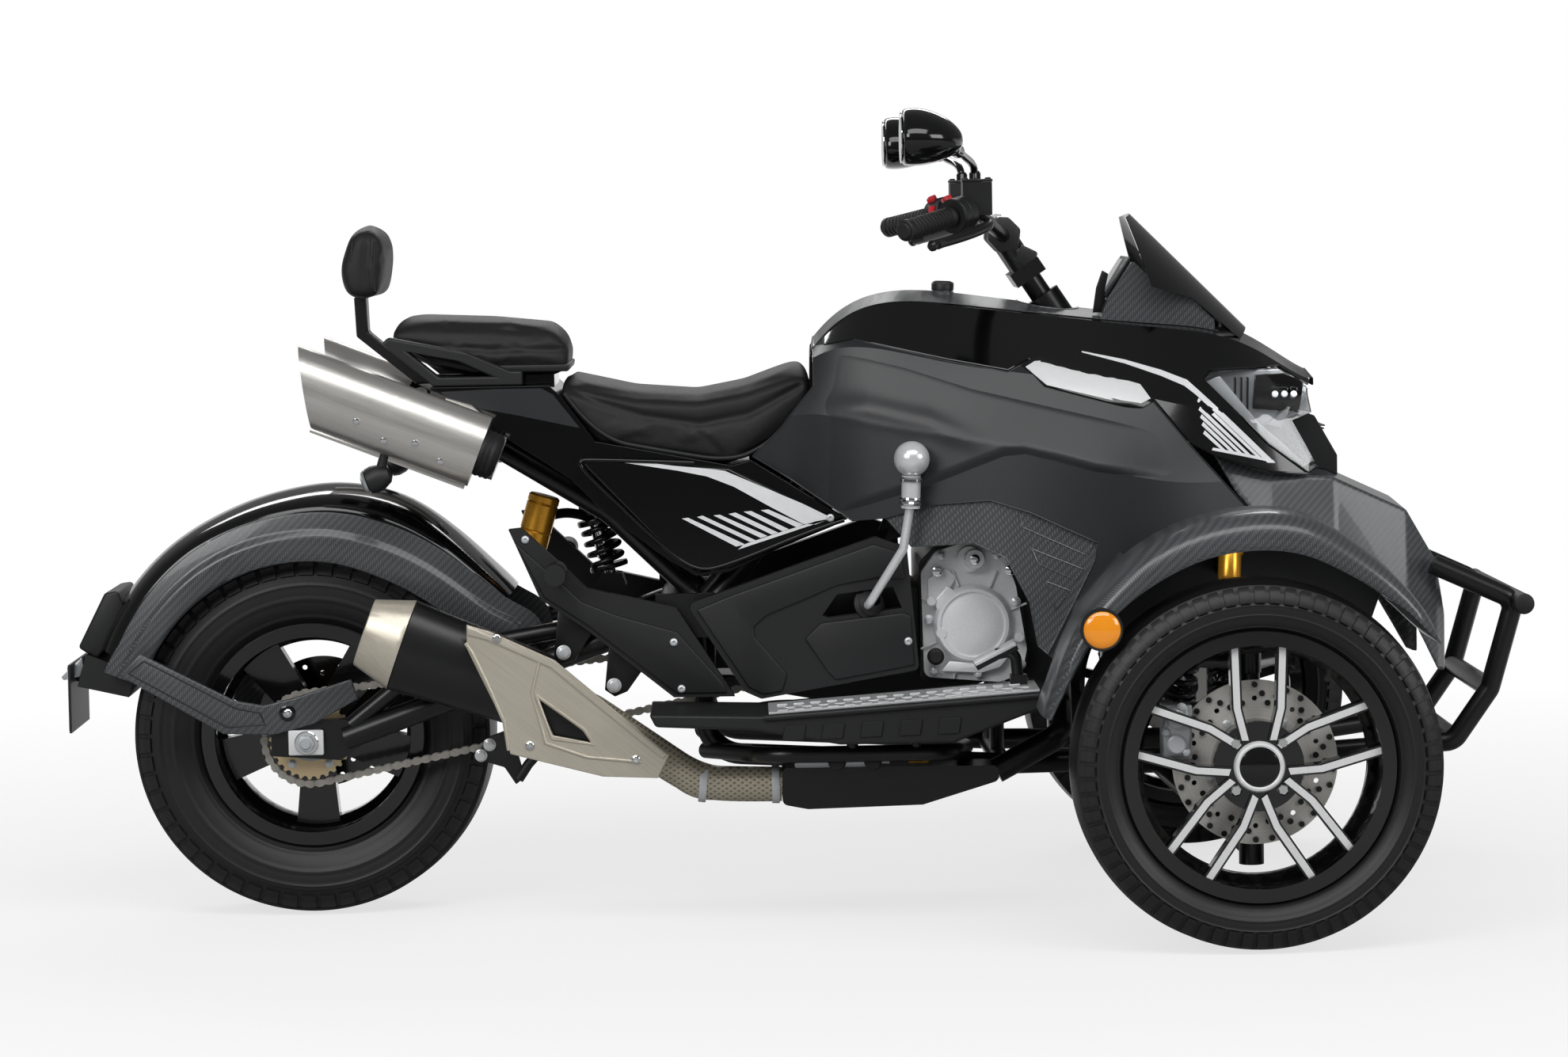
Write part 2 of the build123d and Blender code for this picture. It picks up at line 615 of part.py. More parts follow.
def windscreen(body):
    """A short dark screen: part of a round shell, cut to its side outline."""
    outline = [(548, 1102), (578, 1118), (760, 938), (728, 905), (650, 972), (582, 992)]
    return (screen_round(SCREEN_R) - screen_round(SCREEN_R - SCREEN_T)) & slab(outline, -170, 170) - body


def dash_binnacle(body):
    """The instrument housing on the nose, with its raked display face and two screen posts."""
    outline = [(500, 930), (516, 973), (556, 1034), (578, 1012), (684, 984), (688, 900)]
    house = slab(outline, -96, 96, 6)
    posts = Part() + [slab([(600, 960), (664, 950), (700, 980), (620, 1060)], y - 8, y + 8) for y in (-60, 60)]
    return (house + posts) & screen_round(SCREEN_R - SCREEN_T - FIT) - body


def arch_panel(skin):
    """The textured arch round the engine bay, let in a little behind the side panel's face."""
    outline = [(151, 637 - FIT), (226, 658 - FIT), (313, 665 - FIT), (374, 646 - FIT), (478 - FIT, 598 - FIT),
               (474 - FIT, 571), (392 - SEAM, 408), (372, 505), (336, 575), (287, 598), (190, 592)]
    return skin.moved(Location((0, 4, 0))) & slab(outline, -SIDE_REACH, -120)


def footboard():
    """A moulded tray on the outrigger's posts, with a step at its rear."""
    outline = [(-225, 350), FOOT_REAR, FOOT_MID, FOOT_FRONT, (402, 356), (245, FOOT_UNDER_Z), (70, FOOT_UNDER_Z),
               (-60, 322), (-215, 330)]
    return slab(outline, -395, -198)


def foot_plate():
    """The bright tread plate on the footboard."""
    rear, front = FOOT_REAR[0] + 12, FOOT_FRONT[0] - 20
    low = [(rear, tread_line(rear)), FOOT_MID, (front, tread_line(front))]
    high = [(x, z + TREAD_T) for x, z in reversed(low)]
    return slab(low + high, -385, -250)


def tread_line(x):
    """The height of the footboard's top at a station."""
    start, end = (FOOT_REAR, FOOT_MID) if x < FOOT_MID[0] else (FOOT_MID, FOOT_FRONT)
    return start[1] + (end[1] - start[1]) * (x - start[0]) / (end[0] - start[0])


def side_cover():
    """The gloss side cover under the saddle."""
    outline = [(-338, 738), (-95, 718), (60, 640), (88, 630), (-98, 557), (-146, 551), (-195, 586)]
    return slab(outline, -196, -176 - FIT, 8)


def lower_cover():
    """The matt cover over the gearbox, with a slot for the gear lever on the right."""
    outline = [(-165, 505), (134, 607), (183, 590), (200, 396), (-50, 354), (-76, 366)]
    return slab(outline, -236, -206, 10)


GEAR_SLOT = [(48, 484), (72, 518), (160, 528), (174, 494), (60, 480)]
GEARBOX_RIGHT_Y = -110.0
GEARBOX_LEFT_Y = 130.0


def standoff(x, z, inner_y):
    """A distance piece from the inside of a right-hand lower cover to the gearbox."""
    return rod((x, -206, z), (x, inner_y, z), 10)


def pivot_cover():
    """The matt cover over the swing arm's pivot, with the passenger's peg on it."""
    outline = [(-444, 628), (-424, 630), (-322, 533), (-182, 500), (-92, 358), (-188, 358), (-328, 471), (-396, 517)]
    peg = rod((-370, -300, 560), (-370, -212, 560), 17)
    return slab(outline, -228, PIVOT_PLATE_Y - 12) + peg


def tail_cover():
    """The gloss tail: two sides joined by the pan that carries both seats."""
    outline = [(-566, 852), (-378, 852), (-362, 838), (-306, 762), (-90, 720), (-60, 728), (0, 690), (92, 632),
               (60, 622), (-98, 551), (-150, 545), (-205, 580), (-290, 645), (-345, 702), (-440, 765), (-566, 830)]
    pan = [(-566, 852), (-378, 852), (-362, 838), (-306, 762), (-90, 718), (-62, 722), (-62, 706), (-96, 702),
           (-318, 746), (-382, 832), (-566, 834)]
    sides = Part() + [slab(outline, -176, -TAIL_SIDE_Y), slab(outline, TAIL_SIDE_Y, 176)]
    rest = slab([(-500, 845), (-500, 869 - FIT), (-372, 869 - FIT), (-372, 845)], -100, 100)
    return sides + [slab(pan, -TAIL_SIDE_Y, TAIL_SIDE_Y), rest]


def rider_seat():
    outline = [(-361, 868), (-319, 858), (-244, 841), (-143, 833), (-68, 847), (5, 874), (34, 876), (38, 829),
               (-10, 773), (-88, 721), (-305, 763), (-362, 840)]
    return slab(outline, -150, 150)


def pillion_seat():
    outline = [(-632, 955), (-584, 960), (-470, 955), (-366, 944), (-344, 908), (-347, 869), (-500, 869), (-560, 885),
               (-630, 920)]
    return slab(outline, -130, 130)


def backrest_pad():
    outline = [(-690, 1107), (-648, 1109), (-640, 1077), (-648, 994), (-699, 994), (-711, 1040)]
    return slab(outline, -125, 125)


def backrest_bracket():
    """A flat bar bent up behind the pillion seat to carry its pad."""
    outline = [(-696, 994), (-693, 930), (-598, 852), (-501, 852), (-501, 866), (-590, 866), (-674, 938),
               (-676, 994)]
    return slab(outline, -24, 24)


def grab_rail():
    """A cast handle loop beside the pillion seat, standing on the tail cover."""
    outer = [(-642, 922), (-632, 932), (-512, 908), (-440, 876), (-420, 876), (-420, 852), (-560, 852)]
    hole = [(-600, 908), (-524, 893), (-470, 868), (-552, 868)]
    return slab(outer, -168, -138) - slab(hole, -200, -100)


def tail_pipe():
    """An oval stainless tail pipe with a slash-cut end, the black ring it comes out of and its hanger."""
    start, end = Vector(-486, -226, 752), Vector(-800, -226, 875)
    along = (end - start).normalized()

    def oval(origin, direction, half_width, half_height, length):
        seat = Plane(origin=origin, x_dir=(0, 1, 0), z_dir=direction)
        return extrude(seat * Ellipse(half_width, half_height), amount=length)

    barrel = oval(start, along, 44, 58, (end - start).length) - oval(start + along * 60, along, 42, 56, 400)
    slash = slab([(-768, 930), (-748, 780), (-900, 780), (-900, 930)], -300, -120)
    ring = oval(start, along * -1, 30, 36, 32)
    hanger = slab([(-540, 836), (-500, 824), (-480, 806), (-500, 790), (-540, 800)], -200, -176)
    return barrel - slash + ring + (hanger - oval(start, along, 43, 57, 400))


SHIELD_Y = -314.0


def silencer():
    """The black oval silencer can, rising beside the rear wheel."""
    start, end = Vector(-395, -262, 372), Vector(-612, -262, 452)
    along = (end - start).normalized()
    small = Plane(origin=start, x_dir=(0, 1, 0), z_dir=along) * Ellipse(44, 62)
    large = Plane(origin=end, x_dir=(0, 1, 0), z_dir=along) * Ellipse(48, 74)
    pad = slab([(-486, 400), (-478, 440), (-430, 424), (-438, 384)], SHIELD_Y, -270)
    return loft([small, large]) + pad


def silencer_trim():
    """The stainless end cap and the pressed heat shield over the silencer's front."""
    start, end = Vector(-613, -262, 452.4), Vector(-672, -262, 474)
    along = (end - start).normalized()
    large = Plane(origin=start, x_dir=(0, 1, 0), z_dir=along) * Ellipse(48, 74)
    small = Plane(origin=end, x_dir=(0, 1, 0), z_dir=along) * Ellipse(34, 54)
    cap = loft([large, small])
    outline = [(-508, 488), (-470, 476), (-372, 430), (-196, 278), (-214, 242), (-300, 246), (-444, 284),
               (-452, 330), (-508, 450)]
    window = [(-400, 372), (-330, 318), (-318, 300), (-376, 312)]
    shield = slab(outline, SHIELD_Y - 8, SHIELD_Y - FIT) - slab(window, -340, -300)
    return Compound(children=[*solids_of(cap), *solids_of(shield)])


def exhaust_pipe(engine_block):
    """The header, the flat collector under the footboard and the braided hose to the silencer."""
    hose = tube([(-20, -262, 222), (-150, -262, 226), (-317.2, -262, 343.3), (-395, -262, 372)], 27, 60)
    collector = slab([(-20, 252), (-20, 194), (20, 186), (200, 190), (320, 226), (320, 250)], -300, -215, 10)
    header = tube([(360, -60, 470), (430, -60, 470), (430, -90, 320), (420, -250, 290), (318, -258, 236)], 20, 26)
    return collector + [hose, header - engine_block]


# Rear fender: revolved about the rear axle

SKIRT_R = 368.0
SKIRT_HEM = 280.0
FENDER_R = SKIRT_R + 36
LAMP_X = REAR_AXLE_X - SKIRT_R - 19
FENDER_INNER = 126.0
FENDER_END = 159.0


def arc_about_rear(points, start_deg, end_deg):
    """A radial section of (y, r) points swept about the rear axle, angles up from straight ahead."""
    section = make_face(Polyline(*[(r, y, 0) for y, r in points], close=True))
    placed = Rot(0, -start_deg, 0) * section
    ring = revolve(placed, axis=Axis((0, 0, 0), (0, -1, 0)), revolution_arc=end_deg - start_deg)
    return at_rear(ring)


def rear_fender():
    """The textured skirts and roof over the rear tyre."""
    y0, y1 = FENDER_INNER, FENDER_INNER + 6
    outer = [(-y1, SKIRT_HEM), (-y1, SKIRT_R - 14), (-y1 + 20, SKIRT_R)]
    inner = [(-y0, SKIRT_HEM), (-y0, SKIRT_R - 16), (-y0 + 18, SKIRT_R - 6)]
    across = [(-y, r) for y, r in reversed(outer)] + [(-y, r) for y, r in inner]
    section = outer + across + list(reversed(inner))
    stay = fender_stay()
    return arc_about_rear(section, 32, FENDER_END) + [stay, mirror(stay, about=Plane.XZ)]


def rear_fender_top():
    """The gloss crown on the fender's roof."""
    slope = [(-108, SKIRT_R + FIT), (-84, FENDER_R - 12), (-40, FENDER_R)]
    section = slope + [(-y, r) for y, r in reversed(slope)]
    return arc_about_rear(section, 44, 154)


def fender_stay():
    """The textured strap from the fender's tail down to the axle."""
    outline = [(-1066, 404), (-1034, 438), (-884, 360), (-842, 352), (-700, 392), (-690, 360), (-825, 305),
               (-905, 308)]
    spacer = slab([(-1062, 406), (-1036, 430), (-1000, 412), (-1030, 380)], -184, -FENDER_INNER)
    return slab(outline, ARM_Y - 20, ARM_Y - 9) + spacer


def tail_lamp():
    """Tail lamp, blank plate and its bracket at the fender's end."""
    section = [(y, SKIRT_R + up) for y, up in ((-100, -68), (-100, 16), (100, 16), (100, -68))]
    base = arc_about_rear(section, FENDER_END, FENDER_END + 8)
    blank = Pos(LAMP_X, 0, 358) * Box(4, 200, 110)
    arm = slab([(LAMP_X + 40, 392), (LAMP_X, 404), (LAMP_X, 380), (LAMP_X + 35, 376)], -30, 30)
    hood = slab([(LAMP_X + 2, 410), (LAMP_X - 12, 404), (LAMP_X - 12, 398), (LAMP_X + 2, 402)], -40, 40)
    drill = Rot(0, 90, 0) * Cylinder(PLATE_HOLE_R, 20)
    holes = [Pos(LAMP_X, y, 390) * drill for y in (-PLATE_HOLE_Y, PLATE_HOLE_Y)]
    return base + [blank, arm, hood] - holes


PLATE_HOLE_R = 3.5
PLATE_HOLE_Y = 62.5


# Front suspension, fenders and bumper

BALL_LOW = (FRONT_AXLE_X, -KINGPIN_Y, 175.0)
BALL_HIGH = (FRONT_AXLE_X, -KINGPIN_Y, 392.0)
POST_PAST = 19.0


def wishbone(pivots, inner_y, inner_z, ball, drop, radius):
    """Two legs from eyes on the frame to one ball joint."""
    joint = (ball[0], ball[1], ball[2] + drop)
    pieces = [Pos(spot(*joint)) * Cylinder(radius + 6, 2 * (abs(drop) - POST_PAST))]
    for x in pivots:
        pieces.append(rod((x - 18, inner_y, inner_z), (x + 18, inner_y, inner_z), radius + 5))
        pieces.append(rod((x, inner_y, inner_z), joint, radius))
    return Part() + pieces


def suspension_arms():
    """A lower and an upper wishbone, with the damper's ears on the lower one."""
    lower = wishbone(ARM_PIVOTS_LOW, -178, 236, BALL_LOW, -38, 13)
    x, y, z = FRONT_SHOCK_FOOT
    ears = [Pos(spot(x + side * 18, y, z - 16)) * Box(6, 36, 60) for side in (-1, 1)]
    upper = wishbone(ARM_PIVOTS_HIGH, -164, 400, BALL_HIGH, 34, 11)
    return Compound(children=[*solids_of(lower + ears), *solids_of(upper)])


def front_shock():
    """A coil-over from the lower wishbone to the frame's tower."""
    x, y, z = FRONT_SHOCK_FOOT
    top = (FRONT_AXLE_X, SHOCK_TOP_Y, FRONT_SHOCK_TOP_Z)
    body = coil_over(top, FRONT_SHOCK_FOOT, 14, 110, 330, 9, 6)
    eye = rod((x - 15, y, z), (x + 15, y, z), 14)
    head = Pos(spot(top[0], top[1], top[2] + 4)) * Cylinder(22, 28)
    return body + [eye, head]


FENDER_OUT_Y = -632.0
FENDER_IN_Y = -455.0
FENDER_EDGE = 22.0
# Columns: angle up from straight ahead, outer and inner radius about the front axle
FENDER_ARCH = [
    (165.0, 332, 321), (155.5, 327, 315), (137.0, 345, 320), (118.5, 362, 323), (101.5, 371, 331), (80.5, 377, 334),
    (63.0, 354, 319), (42.0, 339, 322), (35.5, 331, 326),
]
FENDER_WEB = [(398, 418), (440, 517), (517, 598), (540, 566), (458, 500), (410, 418)]


def front_fender(body):
    """A fixed crowned arch over the wheel, drawn to a point at the front and carried on the body at the rear."""
    faces = []
    for angle, outer, inner in FENDER_ARCH:
        crown = outer - 0.3 * (outer - inner)
        section = [(FENDER_OUT_Y, inner), (FENDER_OUT_Y, crown), (FENDER_OUT_Y + FENDER_EDGE, outer),
                   (FENDER_IN_Y - FENDER_EDGE, outer), (FENDER_IN_Y, crown), (FENDER_IN_Y, inner)]
        turn = math.radians(angle)
        corners = []
        for y, r in section:
            corners.append(spot(FRONT_AXLE_X + r * math.cos(turn), y, FRONT_Z + r * math.sin(turn)))
        faces.append(make_face(Polyline(*corners, close=True)))
    web = slab(FENDER_WEB, FENDER_IN_Y - 1, -280) - body
    return loft(faces, ruled=True) + web


def side_reflector():
    return rod((456, FENDER_OUT_Y - 18, 494), (456, FENDER_OUT_Y - FIT, 494), 21)


BUMPER_R = 16.0
BUMPER_BAR_X = 1156.0
BUMPER_BAR_Y = 240.0
HOOP_Y = -186.0


def bumper():
    """Two bent hoops joined by cross bars, whose ends stand out past the hoops, and legs back to the frame."""
    line = [(1020, HOOP_Y, 545), (1150, HOOP_Y, 486), (1110, HOOP_Y, 345), (1052, HOOP_Y, 262), (790, -112, 236)]
    right = tube(line, BUMPER_R, 24)
    foot = Pos(spot(782, -112, 236)) * Box(10, 50, 44)
    half = right + foot
    bars = [
        rod((BUMPER_BAR_X, -BUMPER_BAR_Y, 484), (BUMPER_BAR_X, BUMPER_BAR_Y, 484), BUMPER_R),
        rod((1052, HOOP_Y, 266), (1052, -HOOP_Y, 266), BUMPER_R),
        rod((1110, HOOP_Y, 345), (1110, -HOOP_Y, 345), BUMPER_R),
    ]
    return half + [mirror(half, about=Plane.XZ), *bars]


# Steering

BAR_MID = (352.0, 1076.0)
BAR_PATH = [(186, -372, 1090), (296, -225, 1118), (BAR_MID[0], -60, BAR_MID[1]), (BAR_MID[0], 60, BAR_MID[1]),
            (296, 225, 1118), (186, 372, 1090)]


def handlebar():
    """Bent bar, riser clamps, stem and upper yoke."""
    bar = tube(BAR_PATH, BAR_R, 40)
    stem = rod(column_point(-58), column_point(YOKE_UP), STEM_R)
    top = column_point(YOKE_UP)
    risers = [rod((top[0], y, top[2]), (BAR_MID[0], y, BAR_MID[1]), 20) for y in (-42, 42)]
    yoke = Plane(origin=spot(*top), x_dir=(0, 1, 0), z_dir=column_axis()) * Box(126, 54, 24)
    caps = [rod((BAR_MID[0], y - 18, BAR_MID[1]), (BAR_MID[0], y + 18, BAR_MID[1]), 22) for y in (-42, 42)]
    return bar + [stem, *risers, yoke, *caps]


def column_axis():
    return Vector(*column_point(1)) - Vector(*column_point(0))


def bar_end(along):
    """A place on the right bar end, measured inwards from its tip."""
    tip, bend = spot(*BAR_PATH[0]), spot(*BAR_PATH[1])
    return tip + (bend - tip).normalized() * along


def grip():
    start, stop = bar_end(-6), bar_end(118)
    unit = (stop - start).normalized()
    body = extrude(Plane(origin=start, z_dir=unit) * Circle(17), amount=(stop - start).length)
    bore = extrude(Plane(origin=bar_end(0), z_dir=unit) * Circle(BAR_R), amount=200)
    return body - bore


def bar_control():
    """Switch box, fluid reservoir and lever on the bar, clear of the grip."""
    unit = (bar_end(1) - bar_end(0)).normalized()
    box = extrude(Plane(origin=bar_end(122), z_dir=unit) * Circle(26), amount=40)
    reservoir = Pos(spot(302, -204, RESERVOIR_TOP - 26)) * Box(46, 56, 52)
    lever = tube([(300, -214, 1108), (322, -250, 1096), (232, -372, 1066)], 7, 14)
    return box + reservoir + lever - tube(BAR_PATH, BAR_R, 40)


RESERVOIR_TOP = 1162.0


# Columns: x, half width and half height of the mirror shell, and how far its middle drops
MIRROR_SECTIONS = [(178, 62, 40, 0), (200, 67, 45, 0), (226, 61, 41, 0), (252, 40, 26, 3), (270, 16, 11, 5)]
MIRROR_Y = -403.0
MIRROR_Z = 1231.0


def mirror_head():
    """A deep drop-shaped mirror shell on a bent stem."""
    faces = []
    for x, half_width, half_height, drop in MIRROR_SECTIONS:
        place = Plane(origin=spot(x, MIRROR_Y, MIRROR_Z - drop), x_dir=(0, 1, 0), z_dir=(1, 0, 0))
        faces.append(place * Ellipse(half_width, half_height))
    stem = tube([(300, -200, RESERVOIR_TOP), (300, -200, 1190), (262, -330, 1214), (236, -372, 1222)], 6, 14)
    return loft(faces) + stem


def knuckle():
    """The upright: kingpin post, hub spindle, steering arm and brake caliper."""
    x, y = FRONT_AXLE_X, -KINGPIN_Y
    post = rod((x, y, BALL_LOW[2] - POST_PAST + FIT), (x, y, BALL_HIGH[2] + POST_PAST - FIT), 15)
    spindle = rod((x, y, FRONT_Z), (x, -TRACK / 2 + DISC_Y + DISC_T / 2 + RUNNING, FRONT_Z), 24)
    arm = rod((x, y, TIE_Z), (x - STEER_ARM, y, TIE_Z), TIE_ROD_R)
    eye = Pos(spot(x - STEER_ARM, y, TIE_Z)) * Cylinder(EYE_R, 24)
    caliper_y = -TRACK / 2 + DISC_Y
    caliper = Pos(spot(x - DISC_R + 6, caliper_y, FRONT_Z + 50)) * Box(44, 46, 80)
    gap = Pos(spot(x, caliper_y, FRONT_Z)) * Rot(90, 0, 0) * Cylinder(DISC_R + DISC_GAP, DISC_T + 2 * DISC_GAP)
    hanger = rod((x - DISC_R + 20, caliper_y + 20, FRONT_Z + 70), (x, y, FRONT_Z + 70), 9)
    return post + [spindle, arm, eye, caliper, hanger] - gap


def pitman():
    """The lower steering shaft with the arm that pushes both tie rods."""
    x = FRONT_AXLE_X
    shaft = rod((x, 0, TIE_Z - 9), (x, 0, STEER_BOX_Z - FIT), 14)
    arm = Pos(spot(x - STEER_ARM / 2, 0, TIE_Z)) * Box(STEER_ARM, 18, 18)
    eye = Pos(spot(x - STEER_ARM, 0, TIE_Z)) * Cylinder(EYE_R, 24)
    return shaft + [arm, eye]


def tie_rod():
    """The rod from the pitman arm's end to the knuckle's steering arm."""
    x = FRONT_AXLE_X - STEER_ARM
    inner, outer = -EYE_R - FIT, -KINGPIN_Y + EYE_R + FIT
    neck = rod((x, inner, TIE_Z), (x, outer, TIE_Z), TIE_NECK_R)
    return neck + rod((x, inner - TIE_NECK, TIE_Z), (x, outer + TIE_NECK, TIE_Z), TIE_ROD_R)


def gear_lever():
    """The bright hand gear lever with a ball knob, out of the gearbox through the cover's slot."""
    shaft = tube([(120, GEARBOX_RIGHT_Y, 500), (120, -252, 500), (176, -270, 590), (188, -280, 662)], 7, 14)
    sleeve = rod((188, -280, 655), (190, -281, 706), 15)
    ball = Pos(spot(191, -281, 732)) * Sphere(28)
    return shaft + [sleeve, ball]


def brake_pedal():
    """The foot brake: a bent arm standing on the footboard's front, with a toe pad."""
    arm = tube([(352, -290, 384), (348, -290, 430), (318, -290, 424)], 9, 14)
    foot = slab([(x, tread_line(x) + TREAD_T) for x in (340, 366)] + [(366, 392), (340, 392)], -304, -276)
    pad = slab([(282, 412), (348, 444), (352, 434), (288, 402)], -320, -260)
    return arm + [foot, pad]


def export(name, shape):
    os.makedirs("parts", exist_ok=True)
    export_step(shape, f"parts/{name}.step")


def main():
    half = body_half()
    body = half + mirror(half, about=Plane.XZ)
    skin = hollowed(half)
    apron = hollowed(apron_half()) & slab(APRON_OUTLINE, -SIDE_REACH, 0)
    gear_hole = slab(GEAR_SLOT, -300, -150)
    right_cover = lower_cover() + standoff(20, 440, GEARBOX_RIGHT_Y) - gear_hole
    left_cover = lower_cover() + standoff(20, 440, -GEARBOX_LEFT_Y)
    front_wheel = at_front(front_rim())
    front_tyre = at_front(tyre(FRONT_TYRE_OD, FRONT_TYRE_WIDTH, FRONT_RIM_D))
    disc = at_front(front_disc())
    engine_block = engine()
    cowl = upper_cowl(skin)
    strip = console_cover(skin)
    nodes = {
        "frame": frame(half),
        "swing_arm": swing_arm(),
        "engine": engine_block,
        "engine_cover": engine_cover(),
        "side_fairings": both(side_fairing(skin)),
        "upper_cowl": cowl + mirror(cowl, about=Plane.XZ),
        "console_cover": strip + mirror(strip, about=Plane.XZ),
        "headlamps": both(headlamp(half)),
        "nose_apron": apron + mirror(apron, about=Plane.XZ),
        "intake_grille": intake(apron_half()),
        "dash_binnacle": dash_binnacle(body),
        "windscreen": windscreen(body),
        "arch_panels": both(arch_panel(skin)),
        "footboards": both(footboard()),
        "foot_plates": both(foot_plate()),
        "side_covers": both(side_cover()),
        "lower_covers": Compound(children=solids_of(right_cover) + solids_of(mirror(left_cover, about=Plane.XZ))),
        "pivot_covers": both(pivot_cover()),
        "tail_cover": tail_cover(),
        "rider_seat": rider_seat(),
        "pillion_seat": pillion_seat(),
        "backrest_pad": backrest_pad(),
        "backrest_bracket": backrest_bracket(),
        "grab_rails": both(grab_rail()),
        "tail_pipes": both(tail_pipe()),
        "silencer": silencer(),
        "silencer_trim": silencer_trim(),
        "exhaust_pipe": exhaust_pipe(engine_block),
        "rear_shock": rear_shock(),
        "chain": chain(),
        "rear_fender": rear_fender(),
        "rear_fender_top": rear_fender_top(),
        "tail_lamp": tail_lamp(),
        "suspension_arms": both(suspension_arms()),
        "front_shocks": both(front_shock()),
        "front_fenders": both(front_fender(body)),
        "side_reflectors": both(side_reflector()),
        "bumper": bumper(),
        "gear_lever": gear_lever(),
        "brake_pedal": brake_pedal(),
        "handlebar": handlebar(),
        "grips": both(grip()),
        "bar_controls": both(bar_control()),
        "mirrors": both(mirror_head()),
        "knuckle_right": knuckle(),
        "knuckle_left": mirror(knuckle(), about=Plane.XZ),
        "pitman": pitman(),
        "tie_rod_right": tie_rod(),
        "tie_rod_left": mirror(tie_rod(), about=Plane.XZ),
        "front_rim_right": front_wheel,
        "front_rim_left": mirror(front_wheel, about=Plane.XZ),
        "front_tyre_right": front_tyre,
        "front_tyre_left": mirror(front_tyre, about=Plane.XZ),
        "front_disc_right": disc,
        "front_disc_left": mirror(disc, about=Plane.XZ),
        "rear_rim": at_rear(rear_rim()),
        "rear_tyre": at_rear(tyre(REAR_TYRE_OD, REAR_TYRE_WIDTH, REAR_RIM_D)),
        "rear_sprocket": at_rear(rear_sprocket()),
    }
    for name, shape in nodes.items():
        export(name, shape)


main()
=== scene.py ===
"""Looks of a motor trike with two steered front wheels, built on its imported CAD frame.

Sizes are in millimetres in the part's own frame: X forward, Y to the rider's left, Z up.
"""
import json
import logging
import math
from collections.abc import Callable, Sequence
from dataclasses import dataclass, field
from enum import Enum

import bpy
import numpy
from mathutils import Matrix, Vector
from mathutils.bvhtree import BVHTree

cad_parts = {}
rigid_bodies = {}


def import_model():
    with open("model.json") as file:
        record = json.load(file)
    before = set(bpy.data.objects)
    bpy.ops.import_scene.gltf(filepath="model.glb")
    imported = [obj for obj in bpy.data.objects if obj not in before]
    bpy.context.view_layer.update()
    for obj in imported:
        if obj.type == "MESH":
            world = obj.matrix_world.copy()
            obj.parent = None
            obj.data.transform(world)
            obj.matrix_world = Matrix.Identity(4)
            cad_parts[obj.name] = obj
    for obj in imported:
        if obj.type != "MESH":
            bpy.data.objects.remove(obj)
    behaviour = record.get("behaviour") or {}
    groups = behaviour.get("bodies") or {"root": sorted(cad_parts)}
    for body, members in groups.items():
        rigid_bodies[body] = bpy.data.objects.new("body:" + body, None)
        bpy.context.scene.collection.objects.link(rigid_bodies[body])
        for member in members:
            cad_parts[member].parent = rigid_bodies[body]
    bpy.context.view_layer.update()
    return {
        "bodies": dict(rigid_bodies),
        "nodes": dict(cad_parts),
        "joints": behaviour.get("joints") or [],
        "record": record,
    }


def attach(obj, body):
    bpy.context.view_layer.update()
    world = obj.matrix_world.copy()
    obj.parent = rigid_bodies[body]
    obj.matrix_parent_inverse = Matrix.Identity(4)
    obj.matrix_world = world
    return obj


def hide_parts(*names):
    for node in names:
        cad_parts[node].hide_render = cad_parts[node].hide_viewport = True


LOG = logging.getLogger("trike")
MM = 0.001
# Size of the slow drift in tone over every surface
DRIFT_MM = 140.0
# Corners of a CAD mesh closer than this are one corner
WELD_MM = 0.02
# A flat drawing starts this far out on the right before it is laid on a panel
OUTSIDE_Y = -400.0
Pair = tuple[float, float]
Place = tuple[float, float, float]
Outline = tuple[Pair, ...]
Rungs = tuple[tuple[Pair, Pair], ...]
Arch = tuple[tuple[float, float, float], ...]
Piece = bpy.types.Object
Tree = bpy.types.NodeTree
Socket = bpy.types.NodeSocket
Nodes = dict[str, Piece]


# Finishes

class Pattern(Enum):
    """How a finish varies over its surface."""

    MOTTLE = "soft patches and fine grain"
    BRUSHED = "long fine lines"
    RINGS = "lines turned about an axle"
    TWILL = "two over, two under weave"
    HIDE = "pressed hide cells"
    BRAID = "crossed wire strands"
    PRISM = "small moulded prisms"


def linear(code: str) -> tuple[float, float, float, float]:
    """Turns an sRGB hex colour into linear RGBA.

    Args:
        code: Colour as "#rrggbb".

    Returns:
        Linear red, green, blue and an alpha of 1.
    """
    parts = [int(code[at:at + 2], 16) / 255 for at in (1, 3, 5)]
    red, green, blue = (p / 12.92 if p <= 0.04045 else ((p + 0.055) / 1.055) ** 2.4 for p in parts)
    return red, green, blue, 1.0


def add(tree: Tree, kind: str, values: dict | None = None, links: dict | None = None,
        **settings: object) -> bpy.types.Node:
    """Adds a node with its settings, socket values and links.

    Args:
        tree: Node tree to add to.
        kind: Blender's name of the node type.
        values: Input socket to its value.
        links: Input socket to the output socket that feeds it.
        **settings: Properties of the node.

    Returns:
        The new node.
    """
    node = tree.nodes.new(kind)
    for name, value in settings.items():
        setattr(node, name, value)
    for socket, value in (values or {}).items():
        node.inputs[socket].default_value = value
    for socket, source in (links or {}).items():
        tree.links.new(source, node.inputs[socket])
    return node


